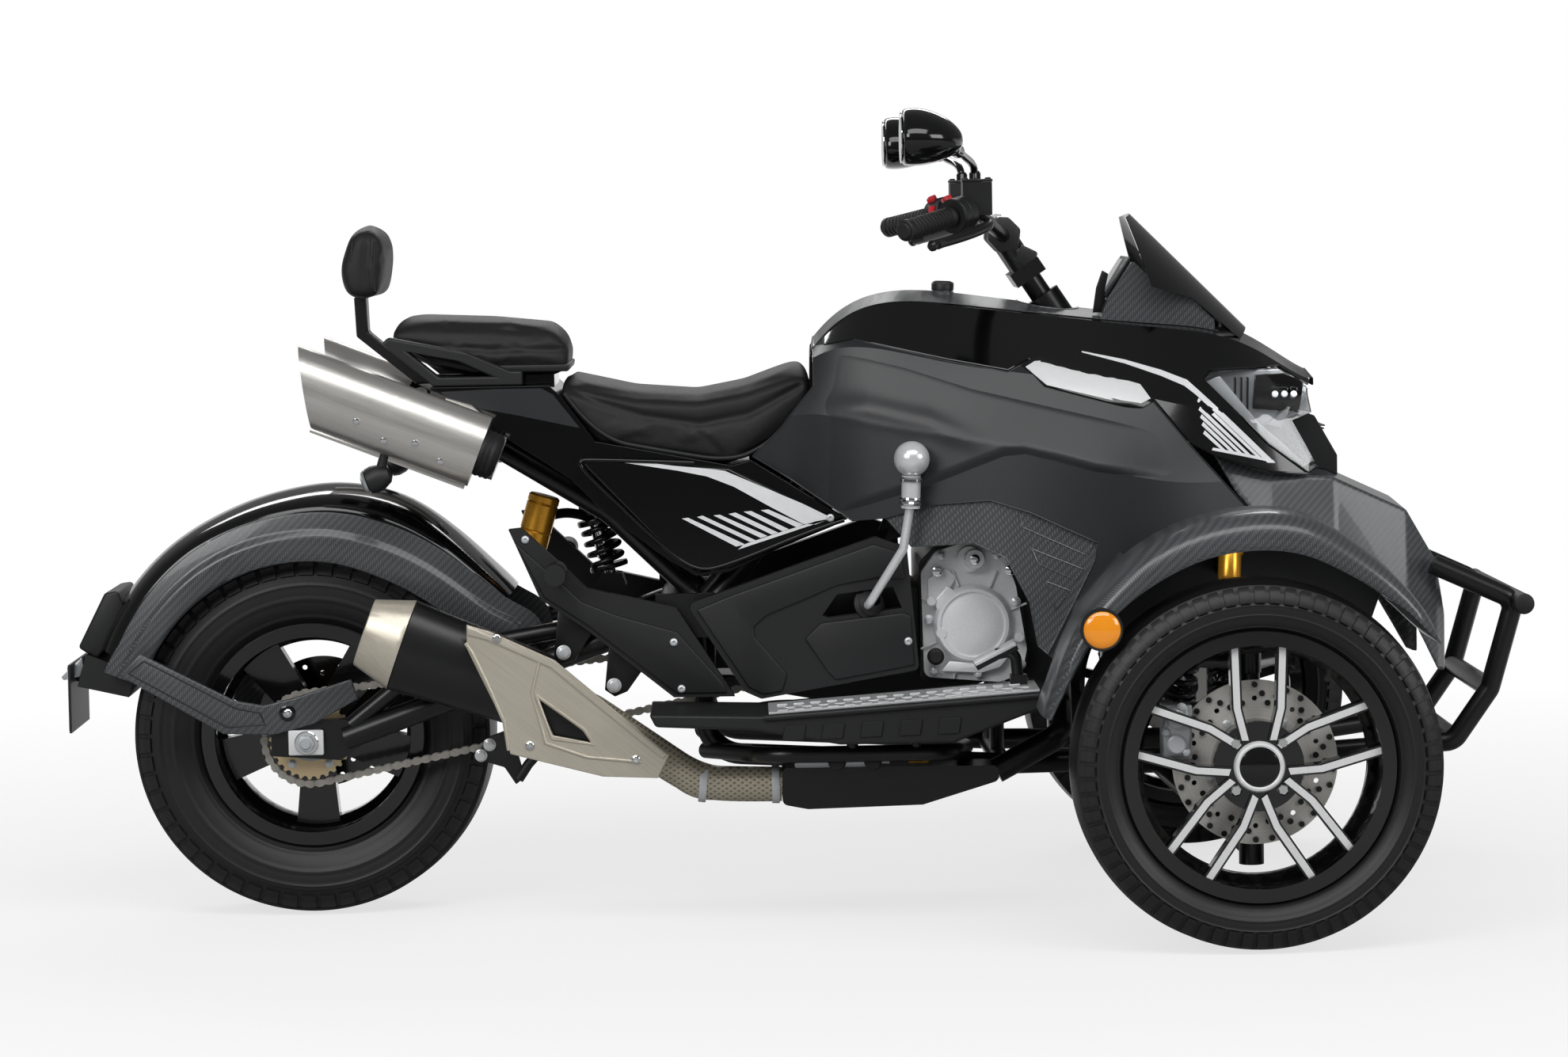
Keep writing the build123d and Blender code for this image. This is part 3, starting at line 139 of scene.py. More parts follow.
def calc(tree: Tree, operation: str, first: Socket | float, second: Socket | float,
         clamp: bool = False) -> Socket:
    """Adds a node that works out one value from two.

    Args:
        tree: Node tree to add to.
        operation: Blender's name of the sum.
        first: Output socket or number.
        second: Output socket or number.
        clamp: Whether the value is held from 0 to 1.

    Returns:
        The value's socket.
    """
    node = add(tree, "ShaderNodeMath", operation=operation, use_clamp=clamp)
    for slot, item in enumerate((first, second)):
        if isinstance(item, float):
            node.inputs[slot].default_value = item
        else:
            tree.links.new(item, node.inputs[slot])
    return node.outputs[0]


@dataclass(frozen=True)
class Finish:
    """A real surface: what it is made of, its tones and the pattern that breaks it up.

    relief_mm is the height of the pattern, size_mm its real repeat, centre the axle of turned lines, line the
    direction of brushed lines, and slot the name of a material slot.
    """

    name: str
    base: str
    other: str
    metallic: float = 0.0
    roughness: float = 0.4
    spread: float = 0.1
    pattern: Pattern = Pattern.MOTTLE
    size_mm: float = 3.0
    relief_mm: float = 0.0
    coat: float = 0.0
    clear: float = 0.0
    ior: float = 1.5
    specular: float = 0.5
    centre: Place = (0.0, 0.0, 0.0)
    line: Place = (1.0, 0.0, 0.0)
    glow: float = 0.0
    slot: str = ""

    def material(self) -> bpy.types.Material:
        """Makes the Blender material, or finds it if it was made before.

        Returns:
            The material.
        """
        found = bpy.data.materials.get(self.name)
        if found:
            return found
        made = bpy.data.materials.new(self.name)
        made.use_nodes = True
        tree = made.node_tree
        shader = tree.nodes["Principled BSDF"]
        for socket, value in (("Metallic", self.metallic), ("Coat Weight", self.coat),
                              ("Coat Roughness", 0.04), ("Transmission Weight", self.clear),
                              ("Specular IOR Level", self.specular), ("Emission Strength", self.glow)):
            shader.inputs[socket].default_value = value
        if not self.metallic:
            shader.inputs["IOR"].default_value = self.ior
        if self.glow:
            shader.inputs["Emission Color"].default_value = linear(self.base)
        self._wire(tree, shader)
        return made

    def _wire(self, tree: Tree, shader: bpy.types.Node) -> None:
        """Feeds colour, roughness and relief of the shader from the pattern.

        Args:
            tree: Node tree of the material.
            shader: Its surface shader.
        """
        here = add(tree, "ShaderNodeTexCoord").outputs["Object"]
        share = self._share(tree, here)
        drift = add(tree, "ShaderNodeTexNoise", {"Scale": 1000 / DRIFT_MM, "Detail": 2.0}, {"Vector": here})
        tone = calc(tree, "ADD", calc(tree, "MULTIPLY", share, 0.7),
                    calc(tree, "MULTIPLY", drift.outputs["Fac"], 0.3))
        colour = add(tree, "ShaderNodeMix", {6: linear(self.base), 7: linear(self.other)}, {0: tone},
                     data_type="RGBA")
        ends = {"To Min": max(0.01, self.roughness - self.spread / 2),
                "To Max": self.roughness + self.spread / 2}
        rough = add(tree, "ShaderNodeMapRange", ends, {"Value": tone})
        tree.links.new(colour.outputs[2], shader.inputs["Base Color"])
        tree.links.new(rough.outputs[0], shader.inputs["Roughness"])
        if self.relief_mm:
            bump = add(tree, "ShaderNodeBump", {"Strength": 0.6, "Distance": self.relief_mm * MM},
                       {"Height": share})
            tree.links.new(bump.outputs[0], shader.inputs["Normal"])

    def _share(self, tree: Tree, here: Socket) -> Socket:
        """The pattern as a value from 0 to 1 over the surface.

        Args:
            tree: Node tree of the material.
            here: Place on the surface.

        Returns:
            Socket of the value.
        """
        scale = 1000 / self.size_mm
        if self.pattern is Pattern.BRUSHED:
            turn = Vector((1, 0, 0)).rotation_difference(Vector(self.line)).inverted().to_euler()
            turned = add(tree, "ShaderNodeMapping", {"Rotation": turn}, {"Vector": here})
            drawn = add(tree, "ShaderNodeMapping", {"Scale": (scale / 60, scale, scale)},
                        {"Vector": turned.outputs[0]})
            return add(tree, "ShaderNodeTexNoise", {"Scale": 1.0, "Detail": 3.0},
                       {"Vector": drawn.outputs[0]}).outputs["Fac"]
        if self.pattern is Pattern.RINGS:
            axle = [-c * MM for c in self.centre]
            flat = add(tree, "ShaderNodeMapping", {"Location": (axle[0], 0, axle[2]), "Scale": (1, 0, 1)},
                       {"Vector": here})
            radius = add(tree, "ShaderNodeVectorMath", {}, {0: flat.outputs[0]}, operation="LENGTH")
            rings = add(tree, "ShaderNodeTexNoise", {"Scale": scale, "Detail": 2.0},
                        {"W": radius.outputs["Value"]}, noise_dimensions="1D")
            return rings.outputs["Fac"]
        if self.pattern is Pattern.TWILL:
            return self._twill(tree, here, scale)
        if self.pattern is Pattern.HIDE:
            cells = add(tree, "ShaderNodeTexVoronoi", {"Scale": scale, "Randomness": 1.0}, {"Vector": here},
                        feature="DISTANCE_TO_EDGE")
            return add(tree, "ShaderNodeMapRange", {"From Max": 0.25},
                       {"Value": cells.outputs["Distance"]}).outputs[0]
        if self.pattern is Pattern.BRAID:
            strands = []
            for angle in (0.6, -0.6):
                lean = add(tree, "ShaderNodeMapping", {"Rotation": (0, angle, 0)}, {"Vector": here})
                strands.append(add(tree, "ShaderNodeTexWave", {"Scale": scale / math.tau, "Distortion": 0.4},
                                   {"Vector": lean.outputs[0]}, bands_direction="Z").outputs["Fac"])
            return calc(tree, "MAXIMUM", strands[0], strands[1])
        if self.pattern is Pattern.PRISM:
            cells = add(tree, "ShaderNodeTexVoronoi", {"Scale": scale, "Randomness": 0.0}, {"Vector": here},
                        distance="CHEBYCHEV")
            return cells.outputs["Distance"]
        return add(tree, "ShaderNodeTexNoise", {"Scale": scale, "Detail": 3.0},
                   {"Vector": here}).outputs["Fac"]

    def _twill(self, tree: Tree, here: Socket, scale: float) -> Socket:
        """A two by two twill: round tows that pass over two and under two.

        Args:
            tree: Node tree of the material.
            here: Place on the surface.
            scale: Tows in a metre.

        Returns:
            Socket of the height.
        """
        axes = add(tree, "ShaderNodeSeparateXYZ", {}, {0: here}).outputs
        rows, crowns = [], []
        for axis in ("X", "Z"):
            count = calc(tree, "MULTIPLY", calc(tree, "ADD", axes[axis], axes["Y"]), scale)
            rows.append(calc(tree, "FLOOR", count, 0.0))
            crowns.append(calc(tree, "MULTIPLY", calc(tree, "PINGPONG", count, 0.5), 2.0))
        phase = calc(tree, "FLOORED_MODULO", calc(tree, "SUBTRACT", rows[0], rows[1]), 4.0)
        over = calc(tree, "LESS_THAN", phase, 1.5)
        dim = calc(tree, "MULTIPLY", crowns[1], 0.45)
        return add(tree, "ShaderNodeMix", {}, {0: over, 2: dim, 3: crowns[0]}, data_type="FLOAT").outputs[0]


# Moulded ABS sprayed black and lacquered: deep black that mirrors the lamps, with a faint orange-peel ripple
GLOSS_BLACK = Finish("ABS gloss black lacquer", "#050506", "#090a0b", slot="gloss_black", roughness=0.11,
                     spread=0.05, size_mm=9, relief_mm=0.02, coat=0.2)
# Moulded ABS sprayed satin grey: a soft sheen with fine metal flake
SATIN_GREY = Finish("ABS satin grey lacquer", "#1a1b1d", "#292b2e", slot="matt_grey", roughness=0.4,
                    spread=0.1, size_mm=2.4, relief_mm=0.02, specular=0.55)
# Moulded ABS under a printed twill film and clear coat; the tows are 2 mm, drawn at 3.2 mm so that they show
WEAVE_FILM = Finish("ABS twill film under lacquer", "#141517", "#6c6f72", slot="weave", roughness=0.32,
                    spread=0.12, pattern=Pattern.TWILL, size_mm=3.2, relief_mm=0.08, coat=0.25)
# Polypropylene moulded in a grained tool: dull, finely pebbled
GRAINED_PLASTIC = Finish("polypropylene grained black", "#0f1011", "#1b1c1e", slot="black_plastic",
                         roughness=0.5, spread=0.16, size_mm=2.0, relief_mm=0.06)
# Steel tube, powder coated: even satin black
POWDER_BLACK = Finish("steel powder coated black", "#0a0a0b", "#131415", slot="steel", roughness=0.32,
                      spread=0.1, size_mm=4, relief_mm=0.03)
# Rolled stainless, brushed along its length: soft grey streaks
BRUSHED_STEEL = Finish("stainless brushed", "#bbb9b5", "#e3e1dc", slot="steel", metallic=0.85, roughness=0.3,
                       spread=0.14, pattern=Pattern.BRUSHED, size_mm=1.6, relief_mm=0.01,
                       line=(-314.0, 0.0, 123.0))
# Stainless blasted and heat tinted: warm pale grey
SATIN_STEEL = Finish("stainless satin blasted", "#b9b1a0", "#ddd7c9", slot="steel", metallic=0.55,
                     roughness=0.34, spread=0.12, pattern=Pattern.BRUSHED, size_mm=2.4, relief_mm=0.01,
                     line=(290.0, 0.0, -230.0))
# Steel ground on its friction faces: fine rings round the axle
GROUND_FRONT = Finish("steel ground disc front", "#d0cec8", "#f2f0ea", metallic=0.22, roughness=0.32,
                      spread=0.16, pattern=Pattern.RINGS, size_mm=2.5, relief_mm=0.02,
                      centre=(692.0, 0.0, 281.0))
# Steel plate, yellow zinc and chromate: gold with pink and green drift
YELLOW_ZINC = Finish("steel yellow zinc", "#cdd69a", "#e9b7a0", metallic=0.35, roughness=0.3, spread=0.16,
                     size_mm=70)
# Steel fastener, white zinc: pale blue-grey
WHITE_ZINC = Finish("steel white zinc", "#c3c7ca", "#e2e5e7", slot="zinc", metallic=0.4, roughness=0.32,
                    spread=0.14, size_mm=5, relief_mm=0.01)
# Rolled steel links, oiled: dull grey with dark film
OILED_STEEL = Finish("steel oiled links", "#8a8781", "#c6c2ba", slot="chain_steel", metallic=0.4,
                     roughness=0.36, spread=0.2, size_mm=9)
# Steel, nickel and chrome: clear mirror
CHROME = Finish("steel chrome plate", "#cfd1d3", "#e4e5e6", slot="chrome", metallic=1.0, roughness=0.08,
                spread=0.06, size_mm=60)
# Aluminium die casting, clear lacquered: bright grey with the tool's grain
CAST_ALLOY = Finish("aluminium die cast lacquered", "#d2d4d6", "#f2f3f4", slot="alloy", metallic=0.18,
                    roughness=0.34, spread=0.14, size_mm=2.6, relief_mm=0.12)
# Aluminium casting, sprayed silver-grey: flat and even
CALIPER_GREY = Finish("aluminium cast grey", "#a8acaf", "#c8cbce", slot="alloy", metallic=0.3, roughness=0.42,
                      spread=0.12, size_mm=2.6, relief_mm=0.1)
# Aluminium wheel, gloss black enamel: wet black that mirrors the floor
WHEEL_BLACK = Finish("aluminium gloss black enamel", "#070708", "#0e0f10", roughness=0.16, spread=0.08,
                     size_mm=8, relief_mm=0.02, coat=0.5)
# Aluminium skimmed on a lathe after painting: bright face with fine rings
SKIMMED = Finish("aluminium skimmed face", "#dcdddf", "#f4f4f4", slot="rim_alloy", metallic=0.2,
                 roughness=0.34, spread=0.1, pattern=Pattern.RINGS, size_mm=1.8, relief_mm=0.01,
                 centre=(692.0, 0.0, 281.0))
# Polycarbonate, clear moulded: the bowl shows through crisp reflections
CLEAR_LENS = Finish("polycarbonate clear lens", "#f4f6f7", "#ffffff", slot="lens", roughness=0.02,
                    spread=0.02, size_mm=80, clear=1.0, ior=1.12, coat=0.8)
# Polycarbonate moulded red: deep red, broken up by small prisms
RED_LENS = Finish("polycarbonate red lens", "#5a0508", "#8a0a0e", slot="lens", roughness=0.1, spread=0.06,
                  pattern=Pattern.PRISM, size_mm=5, relief_mm=0.3, coat=0.5)
# Acrylic, dark tinted sheet: near black, mirror smooth
SMOKED_SHEET = Finish("acrylic dark tinted", "#040405", "#08090a", roughness=0.06, spread=0.04, size_mm=40,
                      coat=0.6)
# Vinyl with a pressed hide grain over foam; the 1.2 mm grain is drawn at 2.6 mm so that it shows
SADDLE_VINYL = Finish("vinyl pressed hide black", "#131314", "#202022", slot="seat", roughness=0.56,
                      spread=0.14, pattern=Pattern.HIDE, size_mm=2.6, relief_mm=0.1, specular=0.35)
# Rubber, moulded: dull black without highlights
SOFT_RUBBER = Finish("rubber moulded black", "#0d0d0e", "#171718", slot="rubber", roughness=0.6, spread=0.14,
                     size_mm=2.0, relief_mm=0.05)
# Tyre compound, moulded: charcoal with a dull bloom
TYRE_RUBBER = Finish("rubber tyre compound", "#0d0d0e", "#19191a", slot="tyre", roughness=0.46, spread=0.14,
                     size_mm=3.0, relief_mm=0.06)
# Acrylic reflector, amber, with moulded corner prisms: bright orange, with a faint painted glow though it
# gives no light of its own
AMBER_PRISM = Finish("acrylic amber prisms", "#ea8406", "#ffab26", slot="amber", roughness=0.14, spread=0.1,
                     pattern=Pattern.PRISM, size_mm=4.5, relief_mm=0.35, coat=0.8, glow=0.12)
# Aluminium, gold anodised and turned: warm gold with fine lines
GOLD_ANODISED = Finish("aluminium gold anodised", "#cf8a16", "#f0b646", slot="alloy", metallic=0.7,
                       roughness=0.26, spread=0.1, pattern=Pattern.BRUSHED, size_mm=2, line=(0.0, 1.0, 0.0))
# Spring steel, enamelled black: a thin highlight on every coil
SPRING_BLACK = Finish("spring steel enamelled", "#0b0b0c", "#161617", slot="spring", roughness=0.25,
                      spread=0.1, size_mm=6)
# Vinyl print, white, under lacquer: clean white lines
WHITE_PRINT = Finish("vinyl white print", "#dcdee0", "#f2f3f4", slot="paint_black", roughness=0.32,
                     spread=0.08, size_mm=14, coat=0.3)
# Acetal moulded red, for switch keys: small bright accents
RED_KEY = Finish("acetal moulded red", "#c41a26", "#dc3240", slot="amber", roughness=0.4, spread=0.1,
                 size_mm=3, relief_mm=0.02)
# Silvered glass: a sharp mirror
SILVERED = Finish("glass silvered", "#c9cdd0", "#dfe2e4", slot="chrome", metallic=1.0, roughness=0.03,
                  spread=0.02, size_mm=90)
# Plastic metallised in a vacuum: soft silver
METALLISED = Finish("polycarbonate metallised", "#b4b8bb", "#d6d9dc", slot="lens", metallic=0.7,
                    roughness=0.32, spread=0.12, size_mm=40)
# Diffusing acrylic over white diodes: glowing white dots
DIODE_WHITE = Finish("acrylic diode cover", "#eef3f7", "#ffffff", slot="lens", roughness=0.3, spread=0.1,
                     size_mm=6, glow=0.7)
# Glass over an unlit display: a grey pane with a glossy face
DISPLAY_GLASS = Finish("glass over grey display", "#55585b", "#6f7376", slot="lens", roughness=0.12,
                       spread=0.06, size_mm=50, coat=0.6)
# Stainless wire, braided over a bellows; the strands are 1 mm, drawn at 3.6 mm so that they show
WIRE_BRAID = Finish("stainless wire braid", "#6a6252", "#d6cdb8", slot="steel", metallic=0.6, roughness=0.34,
                    spread=0.14, pattern=Pattern.BRAID, size_mm=3.6, relief_mm=0.4)
# Aluminium sheet, bright rolled with pressed bars: streaked silver
BRIGHT_SHEET = Finish("aluminium bright rolled", "#d0d2d4", "#f3f4f5", slot="chrome", metallic=0.4,
                      roughness=0.24, spread=0.16, pattern=Pattern.BRUSHED, size_mm=2.4, relief_mm=0.02)
# Aluminium plate, white enamel, left blank: plain white
BLANK_PLATE = Finish("aluminium plate white enamel", "#d9dadb", "#e8e9ea", slot="zinc", roughness=0.35,
                     spread=0.1, size_mm=20)


# Modelling by hand

def clear() -> None:
    """Goes back to object mode with nothing selected."""
    if bpy.context.object and bpy.context.object.mode != "OBJECT":
        bpy.ops.object.mode_set(mode="OBJECT")
    bpy.ops.object.select_all(action="DESELECT")


def take(*pieces: Piece) -> Piece:
    """Selects these pieces alone and makes the first one active.

    Args:
        *pieces: Objects of the scene.

    Returns:
        The active piece.
    """
    clear()
    for piece in pieces:
        piece.select_set(True)
    bpy.context.view_layer.objects.active = pieces[0]
    return pieces[0]


def edit(piece: Piece, kind: str = "VERT") -> None:
    """Opens a piece in edit mode, selecting by vertex, edge or face.

    Args:
        piece: Mesh piece.
        kind: VERT, EDGE or FACE.
    """
    take(piece)
    bpy.ops.object.mode_set(mode="EDIT")
    bpy.ops.mesh.select_mode(type=kind)


def edit_all(piece: Piece, kind: str = "VERT") -> None:
    """Opens a piece in edit mode with all of it selected."""
    edit(piece, kind)
    bpy.ops.mesh.select_all(action="SELECT")


def leave() -> None:
    """Leaves edit mode."""
    bpy.ops.object.mode_set(mode="OBJECT")


def pick(piece: Piece, wanted: Callable[[Vector, Vector], bool]) -> int:
    """Opens a piece in edit mode with the faces selected whose middle and normal are wanted.

    Args:
        piece: Mesh piece.
        wanted: Test of a face's middle in millimetres and its normal.

    Returns:
        How many faces are selected.
    """
    clear()
    mesh = piece.data
    for items in (mesh.vertices, mesh.edges):
        items.foreach_set("select", [False] * len(items))
    chosen = [wanted(face.center / MM, face.normal) for face in mesh.polygons]
    mesh.polygons.foreach_set("select", chosen)
    edit(piece, "FACE")
    return sum(chosen)


def tidy(piece: Piece, gap_mm: float = 0.01) -> Piece:
    """Merges doubles and turns every face outwards.

    Args:
        piece: Mesh piece.
        gap_mm: Corners closer than this are merged.

    Returns:
        The piece.
    """
    edit_all(piece)
    bpy.ops.mesh.remove_doubles(threshold=gap_mm * MM)
    bpy.ops.mesh.normals_make_consistent(inside=False)
    leave()
    return piece


def loose(node: Piece) -> Piece:
    """A copy of a CAD node to work on, its seams closed.

    Args:
        node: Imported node, left as it is.

    Returns:
        The copy, active.
    """
    take(node)
    bpy.ops.object.duplicate()
    piece = bpy.context.object
    piece.modifiers.clear()
    bpy.ops.mesh.customdata_custom_splitnormals_clear()
    return tidy(piece, WELD_MM)


def wire(points: Sequence[Place], closed: bool = False) -> Piece:
    """Draws a line of edges by extruding one vertex from point to point.

    Args:
        points: Corners in millimetres.
        closed: Whether the line is closed and filled with a face.

    Returns:
        The piece, its object at the origin.
    """
    clear()
    bpy.ops.mesh.primitive_plane_add(size=MM)
    piece = bpy.context.object
    bpy.ops.object.mode_set(mode="EDIT")
    bpy.ops.mesh.select_mode(type="VERT")
    bpy.ops.mesh.select_all(action="SELECT")
    bpy.ops.mesh.merge(type="CENTER")
    bpy.ops.transform.translate(value=Vector(points[0]) * MM)
    for start, end in zip(points, points[1:]):
        bpy.ops.mesh.extrude_region_move(TRANSFORM_OT_translate={"value": (Vector(end) - Vector(start)) * MM})
    if closed:
        bpy.ops.mesh.select_all(action="SELECT")
        bpy.ops.mesh.edge_face_add()
    leave()
    return piece


def spun(profile: Sequence[Pair], steps: int = 48) -> Piece:
    """Turns a profile of (radius, along) points about the Y axis.

    Args:
        profile: Points in millimetres.
        steps: Faces round the axis.

    Returns:
        The turned piece.
    """
    piece = wire([(0, y, r) for r, y in profile])
    edit_all(piece)
    bpy.ops.mesh.spin(steps=steps, angle=math.tau, center=(0, 0, 0), axis=(0, 1, 0), use_auto_merge=True)
    leave()
    return tidy(piece)


def prism(outline: Sequence[Pair], low: float, high: float) -> Piece:
    """Extrudes a side-view outline of (x, z) points from one side-line to another.

    Args:
        outline: Corners in millimetres.
        low: First side-line.
        high: Second side-line.

    Returns:
        The plate.
    """
    piece = wire([(x, low, z) for x, z in outline], closed=True)
    edit_all(piece, "FACE")
    bpy.ops.mesh.extrude_region_move(TRANSFORM_OT_translate={"value": (0, (high - low) * MM, 0)})
    leave()
    return tidy(piece)


def pipe(points: Sequence[Place], radius: float, flowing: bool = False, sides: int = 4) -> Piece:
    """Draws a round bar along points, flowing through them or in straight runs."""
    return round_bar(wire(points), radius, flowing, sides)


def round_bar(piece: Piece, radius: float, flowing: bool, sides: int) -> Piece:
    """Turns a line of edges into a round bar.

    Args:
        piece: Line of edges.
        radius: Of the bar, in millimetres.
        flowing: Whether it flows through the corners.
        sides: Steps of its roundness.

    Returns:
        The bar.
    """
    take(piece)
    bpy.ops.object.convert(target="CURVE")
    piece = bpy.context.object
    curve = piece.data
    if flowing:
        for spline in curve.splines:
            spline.type = "NURBS"
            spline.order_u = 3
            spline.use_endpoint_u = True
            spline.resolution_u = 8
    curve.dimensions = "3D"
    curve.bevel_depth = radius * MM
    curve.bevel_resolution = sides
    curve.use_fill_caps = True
    bpy.ops.object.convert(target="MESH")
    return tidy(bpy.context.object)


def apply(piece: Piece, kind: str, **settings: object) -> Piece:
    """Adds a modifier with its settings and applies it.

    Args:
        piece: Mesh piece.
        kind: Blender's name of the modifier type.
        **settings: Properties of the modifier.

    Returns:
        The piece.
    """
    take(piece)
    modifier = piece.modifiers.new(kind.title(), kind)
    for name, value in settings.items():
        setattr(modifier, name, value)
    bpy.ops.object.modifier_apply(modifier=modifier.name)
    return piece


def soften(piece: Piece, width: float, segments: int = 2, angle: float = 30.0) -> Piece:
    """Rounds the edges that are sharper than an angle."""
    return apply(piece, "BEVEL", width=width * MM, segments=segments, limit_method="ANGLE",
                 angle_limit=math.radians(angle), use_clamp_overlap=True)


def slab(outline: Sequence[Pair], low: float, high: float, rounding: float, segments: int = 2) -> Piece:
    """A plate of a side-view outline between two side-lines, its edges rounded."""
    return soften(prism(outline, low, high), rounding, segments)


def turned(profile: Sequence[Pair], steps: int, place: Matrix) -> Piece:
    """A turned piece, moved to its place."""
    return placed(spun(profile, steps), place)


def joined(pieces: Sequence[Piece]) -> Piece:
    """Joins pieces into the first one.

    Args:
        pieces: Mesh pieces.

    Returns:
        The first piece.
    """
    piece = take(*pieces)
    if len(pieces) > 1:
        bpy.ops.object.join()
    return piece


def placed(piece: Piece, matrix: Matrix) -> Piece:
    """Moves a piece's mesh, turning its faces round where the move mirrors it.

    Args:
        piece: Mesh piece.
        matrix: The move.

    Returns:
        The piece.
    """
    piece.data.transform(matrix)
    if matrix.determinant() < 0:
        piece.data.flip_normals()
    piece.data.update()
    return piece


def copied(piece: Piece, matrices: Sequence[Matrix]) -> Piece:
    """Copies a piece to each place, each copy with its own mesh, and joins them; the pattern piece goes.

    Args:
        piece: Pattern piece.
        matrices: Moves from its place.

    Returns:
        The joined copies.
    """
    made = [placed(twin(piece), matrix) for matrix in matrices]
    bpy.data.objects.remove(piece)
    return joined(made)


def twin(piece: Piece) -> Piece:
    """A copy of a piece in the same place, with its own mesh.

    Args:
        piece: Mesh piece, left as it is.

    Returns:
        The copy.
    """
    copy = piece.copy()
    copy.data = piece.data.copy()
    bpy.context.collection.objects.link(copy)
    return copy


def at(x: float, y: float, z: float) -> Matrix:
    """A move in millimetres."""
    return Matrix.Translation(Vector((x, y, z)) * MM)


def along(start: Place, direction: Place) -> Matrix:
    """Turns the Y axis to a direction and moves it to a start in millimetres."""
    turn = Vector((0, 1, 0)).rotation_difference(Vector(direction)).to_matrix().to_4x4()
    return at(*start) @ turn


def outwards(start: Place) -> Matrix:
    """A place on the right-hand side that faces away from the machine."""
    return along(start, (0, -1, 0))


def about_y(degrees: float) -> Matrix:
    """A turn about the Y axis."""
    return Matrix.Rotation(math.radians(degrees), 4, "Y")


FLIP = Matrix.Scale(-1, 4, Vector((0, 1, 0)))
HERE = Matrix.Identity(4)


def both_sides(piece: Piece) -> Piece:
    """A right-hand piece joined with its mirror image."""
    return copied(piece, [HERE, FLIP])


def show(pieces: Piece | list[Piece], name: str, finish: Finish, body: str = "chassis", sharp: float = 32.0,
         replaces: Sequence[str] = (), slot: str = "") -> Piece:
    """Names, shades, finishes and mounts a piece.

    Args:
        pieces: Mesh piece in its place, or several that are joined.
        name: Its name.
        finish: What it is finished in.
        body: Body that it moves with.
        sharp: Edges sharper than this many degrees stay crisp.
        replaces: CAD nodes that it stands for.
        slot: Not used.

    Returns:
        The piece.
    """
    piece = joined(pieces) if isinstance(pieces, list) else take(pieces)
    bpy.ops.object.shade_smooth_by_angle(angle=math.radians(sharp))
    piece.name = name
    piece.data.name = name
    piece.data.materials.clear()
    piece.data.materials.append(finish.material())
    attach(piece, body)
    if replaces:
        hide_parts(*replaces)
    LOG.info("%s on %s: %d faces, %s", name, body, len(piece.data.polygons), finish.name)
    return piece


def show_both(pieces: Piece | list[Piece], name: str, finish: Finish, **mount: object) -> Piece:
    """Shows right-hand pieces joined with their mirror image."""
    right = joined(pieces) if isinstance(pieces, list) else pieces
    return show(both_sides(right), name, finish, **mount)


def hex_bolt(across: float, height: float, flange: float = 0.78) -> Piece:
    """A flanged hex head that stands out along +Y from the origin.

    Args:
        across: Width across the flats.
        height: Of the head.
        flange: Radius of the flange as a share of the width.

    Returns:
        The bolt's head.
    """
    clear()
    bpy.ops.mesh.primitive_cylinder_add(vertices=6, radius=across * 0.577 * MM, depth=height * MM,
                                        rotation=(math.pi / 2, 0, 0))
    head = take(bpy.context.object)
    bpy.ops.object.transform_apply(location=True, rotation=True, scale=True)
    placed(head, at(0, height / 2 + 1, 0))
    pick(head, lambda middle, normal: normal.y > 0.9)
    bpy.ops.mesh.inset(thickness=across * 0.09 * MM)
    bpy.ops.transform.translate(value=(0, height * 0.08 * MM, 0))
    leave()
    collar = spun([(0, 0), (across * flange, 0), (across * flange, 1.2), (across * 0.58, 2.2), (0, 2.2)], 20)
    return joined([head, collar])


def button_bolt(radius: float, height: float) -> Piece:
    """A round-headed screw with a socket, standing out along +Y from the origin."""
    profile = [(0, height * 0.45), (radius * 0.42, height * 0.45), (radius * 0.45, height),
               (radius * 0.6, height * 0.97), (radius * 0.88, height * 0.62), (radius, 0.0), (0, 0)]
    return spun(profile, 18)


# Wheels and drive

def arc_through(start: Pair, middle: Pair, end: Pair, count: int) -> list[Pair]:
    """Points on the circle through three points, from the first to the last.

    Args:
        start: First point.
        middle: Point on the way.
        end: Last point.
        count: Steps.

    Returns:
        The points.
    """
    (ax, ay), (bx, by), (cx, cy) = start, middle, end
    area = 2 * (ax * (by - cy) + bx * (cy - ay) + cx * (ay - by))
    aa, bb, cc = ax * ax + ay * ay, bx * bx + by * by, cx * cx + cy * cy
    ox = (aa * (by - cy) + bb * (cy - ay) + cc * (ay - by)) / area
    oy = (aa * (cx - bx) + bb * (ax - cx) + cc * (bx - ax)) / area
    radius = math.hypot(ax - ox, ay - oy)
    first, between, last = (math.atan2(y - oy, x - ox) for x, y in (start, middle, end))
    sweep = (last - first) % math.tau
    if (between - first) % math.tau > sweep:
        sweep -= math.tau
    return [(ox + radius * math.cos(first + sweep * n / count),
             oy + radius * math.sin(first + sweep * n / count)) for n in range(count + 1)]


